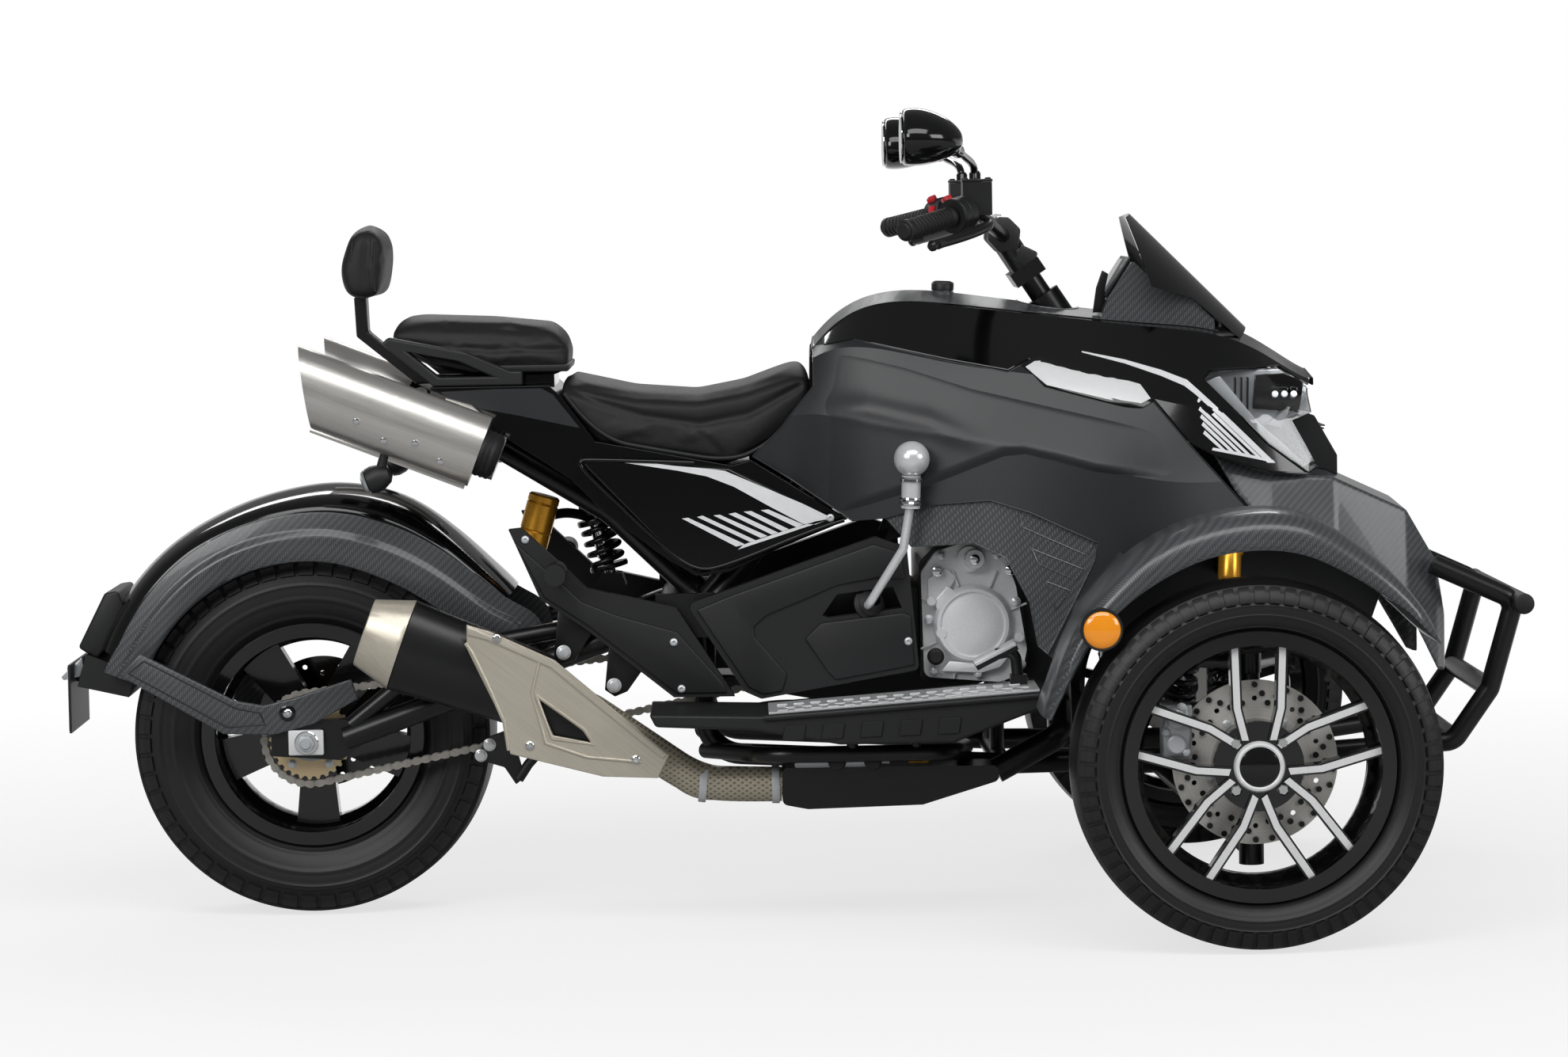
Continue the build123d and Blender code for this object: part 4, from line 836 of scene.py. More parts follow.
@dataclass
class Tyre:
    """A road tyre: ringed side walls and a tread of blocks.

    Rows of blocks are (from, to, shift) across one half. The tread drops towards its edges, blocks are raised
    within the tread zone, and lugs run down the wall within the lug zone.
    """

    name: str
    body: str
    node: str
    place: Matrix
    radius: float
    width: float
    rim: float
    steps: int
    pitch: int
    rows: tuple[tuple[float, float, int], ...]
    depth: float = 7.0
    lug: float = 3.0
    drop: float = 11.0
    shoulder: float = 10.0
    tread_zone: float = 21.0
    lug_zone: float = 34.0
    wall_steps: int = 36
    ring_steps: tuple[int, ...] = (4, 5, 15, 16, 23)
    ring_height: float = 1.4
    lug_step: int = 25

    def build(self) -> None:
        """Turns the carcass, raises the blocks and mounts the tyre."""
        tyre = spun(self._profile(), self.steps)
        edge = self.width / 2 - self.shoulder
        rows = [*self.rows, *((-high, -low, shift + 2) for low, high, shift in self.rows if high > -low)]
        turn = math.tau / self.steps

        def on_block(middle: Vector, across: float) -> bool:
            """Whether a place of the tread stands proud as a block."""
            count = int(math.atan2(middle.x, middle.z) // turn)
            return any(low < across < high and (count + shift) % self.pitch for low, high, shift in rows)

        pick(tyre, lambda m, n: math.hypot(m.x, m.z) > self.radius - self.tread_zone and abs(m.y) < edge - 0.5
             and on_block(m, m.y))
        bpy.ops.mesh.extrude_region_move()
        grow = self.radius / (self.radius - self.depth)
        bpy.ops.transform.resize(value=(grow, 1, grow), center_override=(0, 0, 0))
        leave()
        pick(tyre, lambda m, n: math.hypot(m.x, m.z) > self.radius - self.lug_zone and abs(m.y) > edge - 0.5
             and on_block(m, math.copysign(edge - 2, m.y)))
        bpy.ops.mesh.extrude_region_move()
        bpy.ops.transform.resize(value=(1.008, 1 + self.lug / edge, 1.008), center_override=(0, 0, 0))
        leave()
        show(placed(tyre, self.place), self.name, TYRE_RUBBER, body=self.body, sharp=38, replaces=[self.node])

    def _profile(self) -> list[Pair]:
        """Radius and side-line from bead to bead, with rings on both walls.

        Returns:
            The points.
        """
        half, edge = self.width / 2, self.width / 2 - self.shoulder
        flange = self.rim / 2 + 15
        widest = flange + 0.4 * (self.radius - flange)
        wall = arc_through((flange, half - 22), (widest, half), (self.radius - self.drop, edge),
                           self.wall_steps)
        right = []
        for n, (r, y) in enumerate(wall):
            ring = self.ring_height if n in self.ring_steps else 0.0
            sunk = self.lug if n > self.lug_step else 0.0
            right.append((r - sunk * 0.8, y + ring - sunk))
        right = [(self.rim / 2 + 1.0, half - 22)] + right
        marks = sorted({sign * mark for row in self.rows for mark in row[:2] for sign in (1, -1)})
        tread = [(self.radius - self.depth - self.drop * (y / edge) ** 2, y) for y in marks]
        left = [(r, -y) for r, y in right]
        return left + tread + right[::-1]


@dataclass
class FrontWheel:
    """What is skimmed, fitted and bolted on a front wheel; drawn on the right, outer face towards -Y."""

    centre: Place = (692.0, -560.0, 281.0)
    pairs: int = 5
    face_y: float = -58.0
    face_half: float = 5.2
    line: Outline = ((40.0, 21.0), (88.0, 33.0), (182.0, 36.0))
    nut_circle: float = 50.0
    caliper: Place = (573.0, -556.0, 331.0)

    def build(self) -> None:
        """Makes the pieces of both front wheels."""
        for side, flip in (("right", HERE), ("left", FLIP)):
            body = f"front_wheel_{side}"
            place = flip @ at(*self.centre)
            Tyre(f"front_tread_{side}", body, f"front_tyre_{side}", place, radius=281.0, width=165.0,
                 rim=381.0, steps=216, pitch=3, rows=((-14, 14, 0), (19, 43, 1), (48, 72.4, 3))).build()
            show(placed(self._faces(), place), f"spoke_faces_{side}", SKIMMED, body=body)
            show(placed(self._ring(), place), f"cap_ring_{side}", SKIMMED, body=body)
            show(placed(self._cap(), place), f"hub_cap_{side}", GLOSS_BLACK, body=body)
            nuts = copied(placed(hex_bolt(15, 17), outwards((0, -40, self.nut_circle))),
                          [about_y(45 + 90 * n) for n in range(4)])
            show(placed(nuts, place), f"wheel_nuts_{side}", CHROME, body=body)
            valve = turned([(0, 0), (4, 0), (4, 12), (3, 20), (4.5, 20), (4.5, 30), (0, 30)], 14,
                           about_y(36) @ along((0, -66, 176), (0, -1, -0.35)))
            show(placed(valve, place), f"valve_{side}", SOFT_RUBBER, body=body)
            bolts = copied(hex_bolt(8, 6), [about_y(36 + 72 * n) @ outwards((0, 1.0, 72)) for n in range(5)])
            show(placed(bolts, place), f"disc_bolts_{side}", WHITE_ZINC, body=body)
            # Drilled holes are thin black discs on the face: painted shade for the dark inside of each hole
            hole = spun([(0, 0), (4.6, 0), (4.6, 0.4), (0, 0.4)], 12)
            holes = copied(hole, [about_y(12 * n + 6 * (row % 2)) @ outwards((0, -1.9, 92 + 13 * row))
                                  for n in range(30) for row in range(3) if (n + row) % 3])
            show(placed(holes, place), f"disc_hole_shade_{side}", POWDER_BLACK, body=body)
            show(placed(self._caliper(), flip), f"caliper_{side}", CALIPER_GREY, body=f"knuckle_{side}")

    def _faces(self) -> Piece:
        """The bright faces of all spokes.

        Returns:
            The joined piece.
        """
        left = [(across - self.face_half, r) for r, across in self.line]
        right = [(across + self.face_half, r) for r, across in self.line]
        strip = slab(left + right[::-1], self.face_y - 1.0, self.face_y - 0.1, 0.35, 1)
        other = Matrix.Scale(-1, 4, Vector((1, 0, 0)))
        return copied(strip, [about_y(72 * n) @ turn for n in range(self.pairs) for turn in (HERE, other)])

    def _ring(self) -> Piece:
        """The bright ring round the cap."""
        return spun([(30.5, -52.2), (30.5, -62), (33, -63), (36, -62), (38.5, -58), (38.5, -52.2),
                     (30.5, -52.2)], 56)

    def _cap(self) -> Piece:
        """The plain domed cap."""
        return spun([(0, -64.5), (10, -64.2), (20, -63), (27, -61.2), (29.6, -60.1), (0, -60.1)], 48)

    def _caliper(self) -> Piece:
        """The outer half of a two-piston caliper, with its bridge bolts.

        Returns:
            The joined piece.
        """
        x, y, z = self.caliper
        block = slab([(x - 21, z - 36), (x - 24, z), (x - 16, z + 36), (x + 14, z + 42), (x + 22, z + 10),
                      (x + 16, z - 38)], y - 29, y - 23.2, 4, 3)
        pistons = [turned([(0, 0), (15, 0), (15, 6), (12, 8), (0, 8)], 28, outwards((x - 2, y - 29, z + up)))
                   for up in (-18, 20)]
        bolts = [placed(hex_bolt(9, 6), outwards((x + dx, y - 29, z + up)))
                 for dx, up in ((12, -30), (6, 38), (-18, 1))]
        return joined([block, *pistons, *bolts])


@dataclass
class RearWheel:
    """The rear tyre, the chain and what is bolted at the rear axle."""

    centre: Place = (-773.0, 0.0, 292.0)
    drive: Place = (-30.0, -130.0, 405.0)
    pitch: float = 15.875
    teeth: Pair = (29, 13)

    def build(self) -> None:
        """Makes the pieces round the rear axle."""
        place = at(*self.centre)
        Tyre("rear_tread", "rear_wheel", "rear_tyre", place, radius=292.0, width=205.0, rim=330.0, steps=220,
             pitch=4, rows=((-12, 12, 0), (18, 40, 2), (46, 66, 4), (72, 92.4, 1)), depth=8.0,
             lug=4.0).build()
        show(self._links(), "chain_links", OILED_STEEL, sharp=40, replaces=["chain"])
        nut = placed(hex_bolt(24, 11, 0.58), outwards((-773, -197.2, 292)))
        washer = turned([(0, 0), (19, 0), (19, 2), (17.5, 3), (0, 3)], 36, outwards((-773, -194.2, 292)))
        block = slab([(-802, 272), (-746, 272), (-746, 312), (-802, 312)], -194.2, -186, 2.5)
        stub = turned([(0, 0), (8.5, 0), (8.5, 5), (7, 6.5), (0, 6.5)], 24, outwards((-773, -207, 292)))
        show_both(block, "axle_blocks", BLANK_PLATE)
        show_both(washer, "axle_washers", CHROME)
        show_both([nut, stub], "axle_nuts", CALIPER_GREY, slot="zinc")
        screws = copied(hex_bolt(9, 6), [place @ about_y(72 * n) @ outwards((0, -133.6, 50))
                                         for n in range(5)])
        show(screws, "sprocket_bolts", WHITE_ZINC, body="rear_wheel")
        ring = turned([(30, -133.6), (30, -136), (36, -136.4), (37, -133.6), (30, -133.6)], 40, place)
        show(ring, "sprocket_ring", CALIPER_GREY, body="rear_wheel")

    def _links(self) -> Piece:
        """Every link of the loop: plates, pins and rollers.

        Returns:
            The joined piece.
        """
        big, small = (self.pitch / (2 * math.sin(math.pi / count)) for count in self.teeth)
        dx, dz = self.drive[0] - self.centre[0], self.drive[2] - self.centre[2]
        span, slope = math.hypot(dx, dz), math.atan2(dz, dx)
        spread = math.acos((big - small) / span)
        run = math.sqrt(span ** 2 - (big - small) ** 2)
        arcs = (big * (math.tau - 2 * spread), run, small * 2 * spread, run)
        count = round(sum(arcs) / self.pitch / 2) * 2

        def point(distance: float) -> Vector:
            """The place on the loop at a distance from its start."""
            left = distance % sum(arcs)
            for number, length in enumerate(arcs):
                if left < length or number == 3:
                    break
                left -= length
            middle, radius, turn = ((self.centre, big, slope + spread), (self.centre, big, slope - spread),
                                    (self.drive, small, slope - spread),
                                    (self.drive, small, slope + spread))[number]
            ahead = turn + math.pi / 2
            if number in (0, 2):
                turn += left / radius
                left = 0.0
            return Vector((middle[0] + radius * math.cos(turn) + left * math.cos(ahead), self.drive[1],
                           middle[2] + radius * math.sin(turn) + left * math.sin(ahead)))

        places: tuple[list[Matrix], list[Matrix]] = ([], [])
        step = sum(arcs) / count
        for n in range(count):
            start, end = point(n * step), point((n + 1) * step)
            angle = math.atan2(end.z - start.z, end.x - start.x)
            places[n % 2].append(at(*((start + end) / 2)) @ about_y(-math.degrees(angle)))
        return joined([copied(self._link(near), spots) for near, spots in zip((4.0, 6.2), places)])

    def _link(self, near: float) -> Piece:
        """One link lying along X: two waisted plates, and pins or rollers at its ends.

        Args:
            near: Side-line of the plates' inner faces.

        Returns:
            The link.
        """
        half = self.pitch / 2
        outline = [(-half - 6, 2.5), (-half - 4, 5.6), (-half + 2, 5.8), (0, 3.6), (half - 2, 5.8),
                   (half + 4, 5.6), (half + 6, 2.5)]
        outline += [(x, -z) for x, z in reversed(outline)]
        plate = prism(outline, near, near + 1.7)
        pieces = [both_sides(plate)]
        reach = 8.8 if near > 5 else 3.8
        radius = 2.6 if near > 5 else 4.9
        for end in (-half, half):
            pieces.append(turned([(0, -reach), (radius, -reach), (radius, reach), (0, reach)], 10,
                                 at(end, 0, 0)))
        return joined(pieces)


# Dampers

@dataclass
class Dampers:
    """Coil springs with their bodies, eyes and gas cans."""

    rear_top: Place = (-318.0, 0.0, 648.0)
    rear_foot: Place = (-287.5, 0.0, 527.0)
    front_top: Place = (692.0, -245.0, 590.0)
    front_foot: Place = (662.0, -395.0, 214.0)

    def build(self) -> None:
        """Makes the rear damper, its can and both front dampers."""
        place, length = self._line(self.rear_top, self.rear_foot)
        body = spun([(0, 6), (12, 6), (14, 16), (14, 84), (9, 92), (9, length - 10), (0, length - 10)], 32)
        eyes = [turned([(0, -16), (13, -16), (13, 16), (0, 16)], 28, at(x, 0, z))
                for x, _, z in (self.rear_top, self.rear_foot)]
        show([placed(body, place), *eyes], "rear_damper_body", CHROME, replaces=["rear_shock"])
        cups = [spun([(13, 20), (31, 20), (32, 24), (31, 29), (13, 29), (13, 20)], 36),
                spun([(10, 97), (31, 97), (32, 101), (31, 105), (10, 105), (10, 97)], 36)]
        show(placed(joined([self._coil(26.0, 4.6, 28, 98, 3.4), *cups]), place), "rear_spring", SPRING_BLACK)
        can, reach = self._line((-392.0, -70.0, 672.0), (-416.0, -70.0, 588.0))
        gold = spun([(0, 0), (22, 0), (25.4, 3), (25.4, 12), (24, 14), (25.4, 16), (25.4, 58), (24, 60),
                     (25.4, 62), (25.4, reach - 3), (23, reach), (0, reach)], 44)
        hose = pipe([(-404, -70, 632), (-380, -52, 640), (-345, -24, 640), (-318, -8, 628)], 8, True)
        show(placed(gold, can), "rear_gas_can", GOLD_ANODISED)
        show(hose, "rear_gas_link", POWDER_BLACK)
        place, length = self._line(self.front_top, self.front_foot)
        rod = spun([(0, 6), (13, 6), (13, 100), (15, 112), (15, 250), (10, 262), (10, length - 10),
                    (0, length - 10)], 32)
        eye = turned([(0, -15), (14, -15), (14, 15), (0, 15)], 28, along(self.front_foot, (1, 0, 0)))
        show_both([placed(rod, place), eye], "front_damper_bodies", CHROME, replaces=["front_shocks"])
        cups = [spun([(13, 98), (31, 98), (32, 103), (31, 109), (13, 109), (13, 98)], 36),
                spun([(10, 331), (31, 331), (32, 336), (10, 339), (10, 331)], 36)]
        show_both(placed(joined([self._coil(26.0, 5.6, 108, 332, 9.0), *cups]), place), "front_springs",
                  SPRING_BLACK)
        top = spun([(0, -9), (19, -9), (21.5, -6), (21.5, 18), (18, 22), (18, 60), (16, 64), (0, 64)], 40)
        show_both(placed(top, place), "front_damper_tops", GOLD_ANODISED)

    def _line(self, top: Place, foot: Place) -> tuple[Matrix, float]:
        """The place and length of a damper from its top towards its foot."""
        way = Vector(foot) - Vector(top)
        return along(top, tuple(way)), way.length

    def _coil(self, radius: float, wire_radius: float, start: float, stop: float, turns: float) -> Piece:
        """A helical spring about Y, its ends closed.

        Args:
            radius: Of the coil's middle line.
            wire_radius: Of its wire.
            start: Where it starts along Y.
            stop: Where it ends.
            turns: Number of turns.

        Returns:
            The spring.
        """
        clear()
        bpy.ops.mesh.primitive_circle_add(vertices=12, radius=wire_radius * MM, fill_type="NOTHING")
        coil = take(bpy.context.object)
        placed(coil, at(radius, start + wire_radius, 0))
        apply(coil, "SCREW", axis="Y", angle=math.tau * turns,
              screw_offset=(stop - start - 2 * wire_radius) * MM, steps=int(20 * turns),
              render_steps=int(20 * turns), use_merge_vertices=False)
        edit_all(coil)
        bpy.ops.mesh.fill_holes(sides=0)
        leave()
        return tidy(coil)


# Soft goods

@dataclass
class Pad:
    """A padded seat piece: swollen from its solid by cloth, then creased along its sewn lines."""

    name: str
    node: str
    half: float
    nose: float
    crown: float
    crease: Outline
    rounding: float = 26.0
    voxel: float = 6.0
    cap: float = 4.0
    fill: float = 0.8
    pressure: float = 4.0
    frames: int = 16
    crease_depth: float = 5.5
    crease_width: float = 5.0

    def build(self, nodes: Nodes) -> None:
        """Makes the pad.

        Args:
            nodes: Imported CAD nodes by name.
        """
        pad = loose(nodes[self.node])
        self._rough(pad)
        self._swell(pad)
        self._press(pad)
        apply(pad, "SUBSURF", levels=1, render_levels=1)
        show(pad, self.name, SADDLE_VINYL, sharp=80, replaces=[self.node])

    def _rough(self, pad: Piece) -> None:
        """Rounds the solid, narrows it towards its nose and crowns its top.

        Args:
            pad: Copy of the solid.
        """
        edit_all(pad, "EDGE")
        bpy.ops.mesh.dissolve_limited(angle_limit=math.radians(2))
        leave()
        soften(pad, self.rounding, 4, 24)
        pad.data.remesh_voxel_size = self.voxel * MM
        take(pad)
        bpy.ops.object.voxel_remesh()
        apply(pad, "SMOOTH", factor=0.5, iterations=10)
        xs = [v.co.x for v in pad.data.vertices]
        zs = [v.co.z for v in pad.data.vertices]
        rear, front, low, high = min(xs), max(xs), min(zs), max(zs)
        for vertex in pad.data.vertices:
            ahead = (vertex.co.x - rear) / (front - rear)
            up = (vertex.co.z - low) / (high - low)
            side = abs(vertex.co.y) / MM / self.half
            narrow = 1 - (1 - self.nose) * max(0.0, (ahead - 0.35) / 0.65) ** 1.6
            vertex.co.z -= self.crown * MM * up * side ** 2.6
            vertex.co.y *= narrow * (1 - 0.05 * up)

    def _swell(self, pad: Piece) -> None:
        """Blows the pad up as tight cloth and holds every point within the cap.

        Args:
            pad: Roughed-out pad.
        """
        rest = [v.co.copy() for v in pad.data.vertices]
        take(pad)
        cloth = pad.modifiers.new("Cloth", "CLOTH")
        cloth.settings.use_pressure = True
        cloth.settings.uniform_pressure_force = self.pressure
        cloth.settings.effector_weights.gravity = 0.0
        cloth.settings.quality = 4
        cloth.point_cache.frame_start, cloth.point_cache.frame_end = 1, self.frames
        for frame in range(1, self.frames + 1):
            bpy.context.scene.frame_set(frame)
        bpy.ops.object.modifier_apply(modifier=cloth.name)
        bpy.context.scene.frame_set(1)
        for vertex, home in zip(pad.data.vertices, rest):
            move = vertex.co - home
            if move.length > self.cap * MM:
                vertex.co = home + move.normalized() * self.cap * MM

    def _press(self, pad: Piece) -> None:
        """Presses the sewn line into both sides.

        Args:
            pad: Swollen pad.
        """
        pad.data.update()
        for vertex in pad.data.vertices:
            x, z = vertex.co.x / MM, vertex.co.z / MM
            near = min(self._distance(x, z, a, b) for a, b in zip(self.crease, self.crease[1:]))
            if near < 2.8 * self.crease_width and abs(vertex.normal.y) > 0.35:
                depth = self.crease_depth * math.exp(-(near / self.crease_width) ** 2)
                vertex.co.y -= math.copysign(depth * MM, vertex.co.y)

    def _distance(self, x: float, z: float, a: Pair, b: Pair) -> float:
        """How far a side-view point lies from a stretch of line.

        Args:
            x: Station of the point.
            z: Height of the point.
            a: One end of the stretch.
            b: Its other end.

        Returns:
            Millimetres.
        """
        run = Vector((b[0] - a[0], b[1] - a[1]))
        share = max(0.0, min(1.0, ((x - a[0]) * run.x + (z - a[1]) * run.y) / run.length_squared))
        return math.hypot(x - a[0] - run.x * share, z - a[1] - run.y * share)


@dataclass
class Saddles:
    """Rider's seat, pillion seat and backrest, with their trim."""

    def build(self, nodes: Nodes) -> None:
        """Makes the three pads and the trims under them.

        Args:
            nodes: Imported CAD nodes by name.
        """
        Pad("rider_saddle", "rider_seat", 150.0, 0.8, 20.0,
            ((-352, 846), (-300, 822), (-230, 800), (-140, 786), (-60, 800), (20, 842))).build(nodes)
        Pad("pillion_saddle", "pillion_seat", 130.0, 0.94, 16.0,
            ((-640, 926), (-560, 914), (-460, 908), (-340, 906)), rounding=30.0).build(nodes)
        Pad("back_pad", "backrest_pad", 125.0, 1.0, 10.0,
            ((-664, 985), (-668, 1040), (-660, 1115)), rounding=18.0, voxel=5.0).build(nodes)
        edge = pipe([(-356, -147, 838), (-306, -148, 765), (-200, -147, 744), (-92, -142, 724),
                     (-30, -134, 752), (14, -126, 798), (36, -122, 828)], 4.2, True)
        show_both(edge, "saddle_edge", GRAINED_PLASTIC)
        welts = [pipe([(x, -117, 1004), (x - 3, -120, 1040), (x + 2, -117, 1082)], 2.2, True)
                 for x in (-690, -654)]
        show_both(welts, "backrest_welts", SOFT_RUBBER)
        base = slab([(-630, 922), (-560, 888), (-500, 872.4), (-348, 872.4), (-346, 884), (-500, 884),
                     (-560, 900), (-626, 932)], -131, 131, 3)
        show(base, "pillion_base", GRAINED_PLASTIC)


# Bodywork

def laid(piece: Piece, nodes: Sequence[Piece], lift: float, reach: float = 6.0) -> Piece:
    """Lays a flat piece on the right-hand side of nodes, each point moved along Y to their outer face.

    Args:
        piece: Flat mesh piece.
        nodes: Panels under it.
        lift: Millimetres off them.
        reach: Points farther than this above or below the panels are taken away.

    Returns:
        The piece.
    """
    trees = [BVHTree.FromPolygons([v.co for v in node.data.vertices],
                                  [f.vertices for f in node.data.polygons]) for node in nodes]
    missed = set()
    for vertex in piece.data.vertices:
        for up in (0.0, reach / 2, -reach / 2, reach, -reach):
            start = Vector((vertex.co.x, -1.0, vertex.co.z + up * MM))
            hits = [tree.ray_cast(start, Vector((0, 1, 0)))[0] for tree in trees]
            found = [hit.y for hit in hits if hit]
            if found:
                vertex.co.y = min(found) - lift * MM
                break
        else:
            missed.add(vertex.index)
    piece.data.update()
    if missed:
        pick(piece, lambda m, n: False)
        bpy.ops.mesh.select_mode(type="VERT")
        leave()
        for index in missed:
            piece.data.vertices[index].select = True
        bpy.ops.object.mode_set(mode="EDIT")
        bpy.ops.mesh.delete(type="VERT")
        leave()
    return piece


def moulded(piece: Piece, nodes: Sequence[Piece], lift: float) -> Piece:
    """Bends a flat piece to the even curve that lies closest to nodes, clear of them by the lift.

    Args:
        piece: Flat mesh piece.
        nodes: Panels under it.
        lift: Millimetres off them.

    Returns:
        The piece.
    """
    laid(piece, nodes, 0.0)
    spots = numpy.array([vertex.co for vertex in piece.data.vertices])
    x, y, z = spots.T
    terms = numpy.stack([numpy.ones_like(x), x, z, x * x, x * z, z * z], axis=1)
    even = terms @ numpy.linalg.lstsq(terms, y, rcond=None)[0]
    even -= max(0.0, float((even - y).max())) + lift * MM
    for vertex, side in zip(piece.data.vertices, even):
        vertex.co.y = side
    piece.data.update()
    return piece


def outward(piece: Piece) -> Piece:
    """Turns every face of a flat right-hand piece to the outside.

    Args:
        piece: Mesh piece.

    Returns:
        The piece.
    """
    for face in piece.data.polygons:
        if face.normal.y > 0:
            face.flip()
    piece.data.update()
    return piece


def beads(node: Piece, radius: float, sharp: float = 40.0) -> Piece:
    """A thin bead along every crisp border of a panel, as a moulded edge has.

    Args:
        node: Panel.
        radius: Of the bead.
        sharp: Borders bend by more than this many degrees.

    Returns:
        The beads.
    """
    line = loose(node)
    edit(line, "EDGE")
    bpy.ops.mesh.select_all(action="DESELECT")
    bpy.ops.mesh.edges_select_sharp(sharpness=math.radians(sharp))
    bpy.ops.mesh.select_all(action="INVERT")
    bpy.ops.mesh.delete(type="EDGE")
    bpy.ops.mesh.select_all(action="SELECT")
    bpy.ops.mesh.delete(type="ONLY_FACE")
    leave()
    return round_bar(line, radius, False, 1)


def rise(value: float) -> float:
    """Goes from 0 to 1 with the value, without corners."""
    share = max(0.0, min(1.0, value))
    return share * share * (3 - 2 * share)


def height_at(line: Sequence[Pair], x: float) -> float:
    """The height of a line of (x, z) points at a station, level beyond its ends.

    Args:
        line: Points from the rear forward.
        x: Station.

    Returns:
        The height.
    """
    if x <= line[0][0]:
        return line[0][1]
    for (ax, az), (bx, bz) in zip(line, line[1:]):
        if x <= bx:
            return az + (bz - az) * (x - ax) / (bx - ax)
    return line[-1][1]


@dataclass
class Bodywork:
    """Prints, the blank badge plate, the fairing's swell, dark inner walls of painted shade, raised fields
    and small fittings.
    """

    cover_y: float = -196.0
    badge: Outline = ((374, 871), (389, 879), (406, 880), (536, 846), (553, 841), (568, 819), (550, 811),
                      (526, 813), (405, 843))
    # Side cover: upper and lower edge of the swoosh, base stripe and the tops and feet of six bars
    swoosh: Rungs = (((-320, 737), (-320, 735)), ((-279, 736), (-279, 732)), ((-234, 730), (-231, 724)),
                     ((-184, 723), (-177, 715)), ((-118, 716), (-130, 705)), ((-101, 713), (-88, 688)),
                     ((-40, 686), (-27, 653)), ((21, 659), (21, 627)), ((66, 636), (41, 626)))
    base: Rungs = (((-83, 588), (-74, 596)), ((-10, 611), (-14, 615)), ((66, 635), (41, 631)))
    bars: tuple[tuple[Pair, Pair, Pair, Pair], ...] = (
        ((-171, 639), (-161, 640), (-71, 596), (-86, 593)),
        ((-147, 641), (-138, 643), (-54, 602), (-64, 600)),
        ((-121, 643), (-111, 644), (-36, 609), (-47, 606)),
        ((-97, 645), (-86, 647), (-19, 614), (-29, 611)),
        ((-73, 648), (-61, 649), (-2, 619), (-12, 616)),
        ((-46, 650), (-34, 651), (21, 626), (10, 622)))
    cowl_line: Rungs = (((466, 893), (466, 891)), ((532, 879), (532, 873)), ((589, 862), (588, 853)),
                        ((629, 846), (624, 837)), ((648, 828), (640, 824)), ((700, 777), (692, 773)),
                        ((764, 714), (751, 715)))
    cowl_base: Rungs = (((662, 737), (664, 741)), ((712, 726), (712, 731)), ((764, 714), (760, 719)))
    cowl_tops: Outline = ((645, 818), (646, 805), (648, 793), (650, 781), (652, 768))
    # Painted shade: dark walls behind the openings round wheel arch, nose and engine, standing for the shade
    # inside the body
    shade_outlines: tuple[Outline, ...] = (
        ((470, 430), (500, 540), (560, 600), (640, 640), (760, 680), (880, 640), (935, 580), (945, 500),
         (920, 430), (860, 405), (540, 405)),
        ((362, 372), (372, 600), (420, 600), (482, 540), (472, 428), (420, 362)),
        ((150, 590), (170, 640), (340, 690), (470, 620), (480, 540), (400, 600), (300, 640)))
    apron_voxel: float = 3.0
    # Fairing: corners of the moulded swell, its rolled lower edge, the line above and the ridge at the rear
    swell_from: Pair = (40.0, 600.0)
    swell_to: Pair = (640.0, 930.0)
    roll_line: Outline = ((60, 640), (110, 656), (215, 690), (334, 737), (368, 741), (420, 728), (476, 712),
                          (640, 690))
    crease_line: Outline = ((60, 905), (86, 900), (185, 876), (289, 842), (431, 808), (640, 758))
    ridge_line: Outline = ((37, 813), (122, 812), (222, 789), (283, 762), (335, 747))
    lower_fields: tuple[Outline, ...] = (
        ((-150, 497), (-100, 517), (28, 561), (130, 596), (172, 583), (180, 540), (139, 543), (71, 532),
         (27, 513), (-39, 487), (-60, 469), (-59, 453), (-17, 403), (-9, 393), (-16, 366), (-48, 361),
         (-70, 373)),
        ((20, 448), (46, 473), (176, 487), (188, 482), (193, 404), (68, 382), (55, 396)))
    pivot_field: Outline = ((-436, 610), (-330, 512), (-273, 489), (-181, 462), (-110, 380), (-104, 364),
                            (-184, 364), (-322, 474), (-390, 520))
    vents: tuple[Outline, ...] = (
        ((357, 647), (475, 607), (462, 578), (362, 623)),
        ((376, 589), (455, 557), (443, 540), (385, 566)),
        ((398, 538), (433, 524), (411, 494)))
    tail_field: Outline = ((-549, 845), (-463, 848), (-390, 848), (-372, 838), (-330, 784), (-429, 806),
                           (-530, 826))
    tabs: tuple[Outline, ...] = (
        ((-369, 500), (-378, 420), (-362, 412), (-344, 417), (-310, 470)),
        ((-289, 450), (-298, 369), (-282, 358), (-262, 366), (-230, 410)))

    def build(self, nodes: Nodes) -> None:
        """Makes the prints on both sides and the small fittings.

        Args:
            nodes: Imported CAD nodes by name.
        """
        prints = [self._print(self.swoosh, None), self._print(self.base, None)]
        prints += [self._print(((a, d), (b, c)), None) for a, b, c, d in self.bars]
        show_both(prints, "side_cover_print", WHITE_PRINT)
        cowl = nodes["upper_cowl"]
        prints = [self._print(self.cowl_line, cowl), self._print(self.cowl_base, cowl)]
        for x, z in self.cowl_tops:
            foot = self._foot(x, z)
            prints.append(self._print((((x, z), (x - 3, z - 5)), (foot, (foot[0] - 7, foot[1] + 1))), cowl))
        show_both(prints, "cowl_print", WHITE_PRINT)
        self._badge(nodes)
        self._swell(nodes["side_fairings"])
        self._apron(nodes["nose_apron"])
        self._painted_shade()
        self._relief(nodes)
        self._fittings()

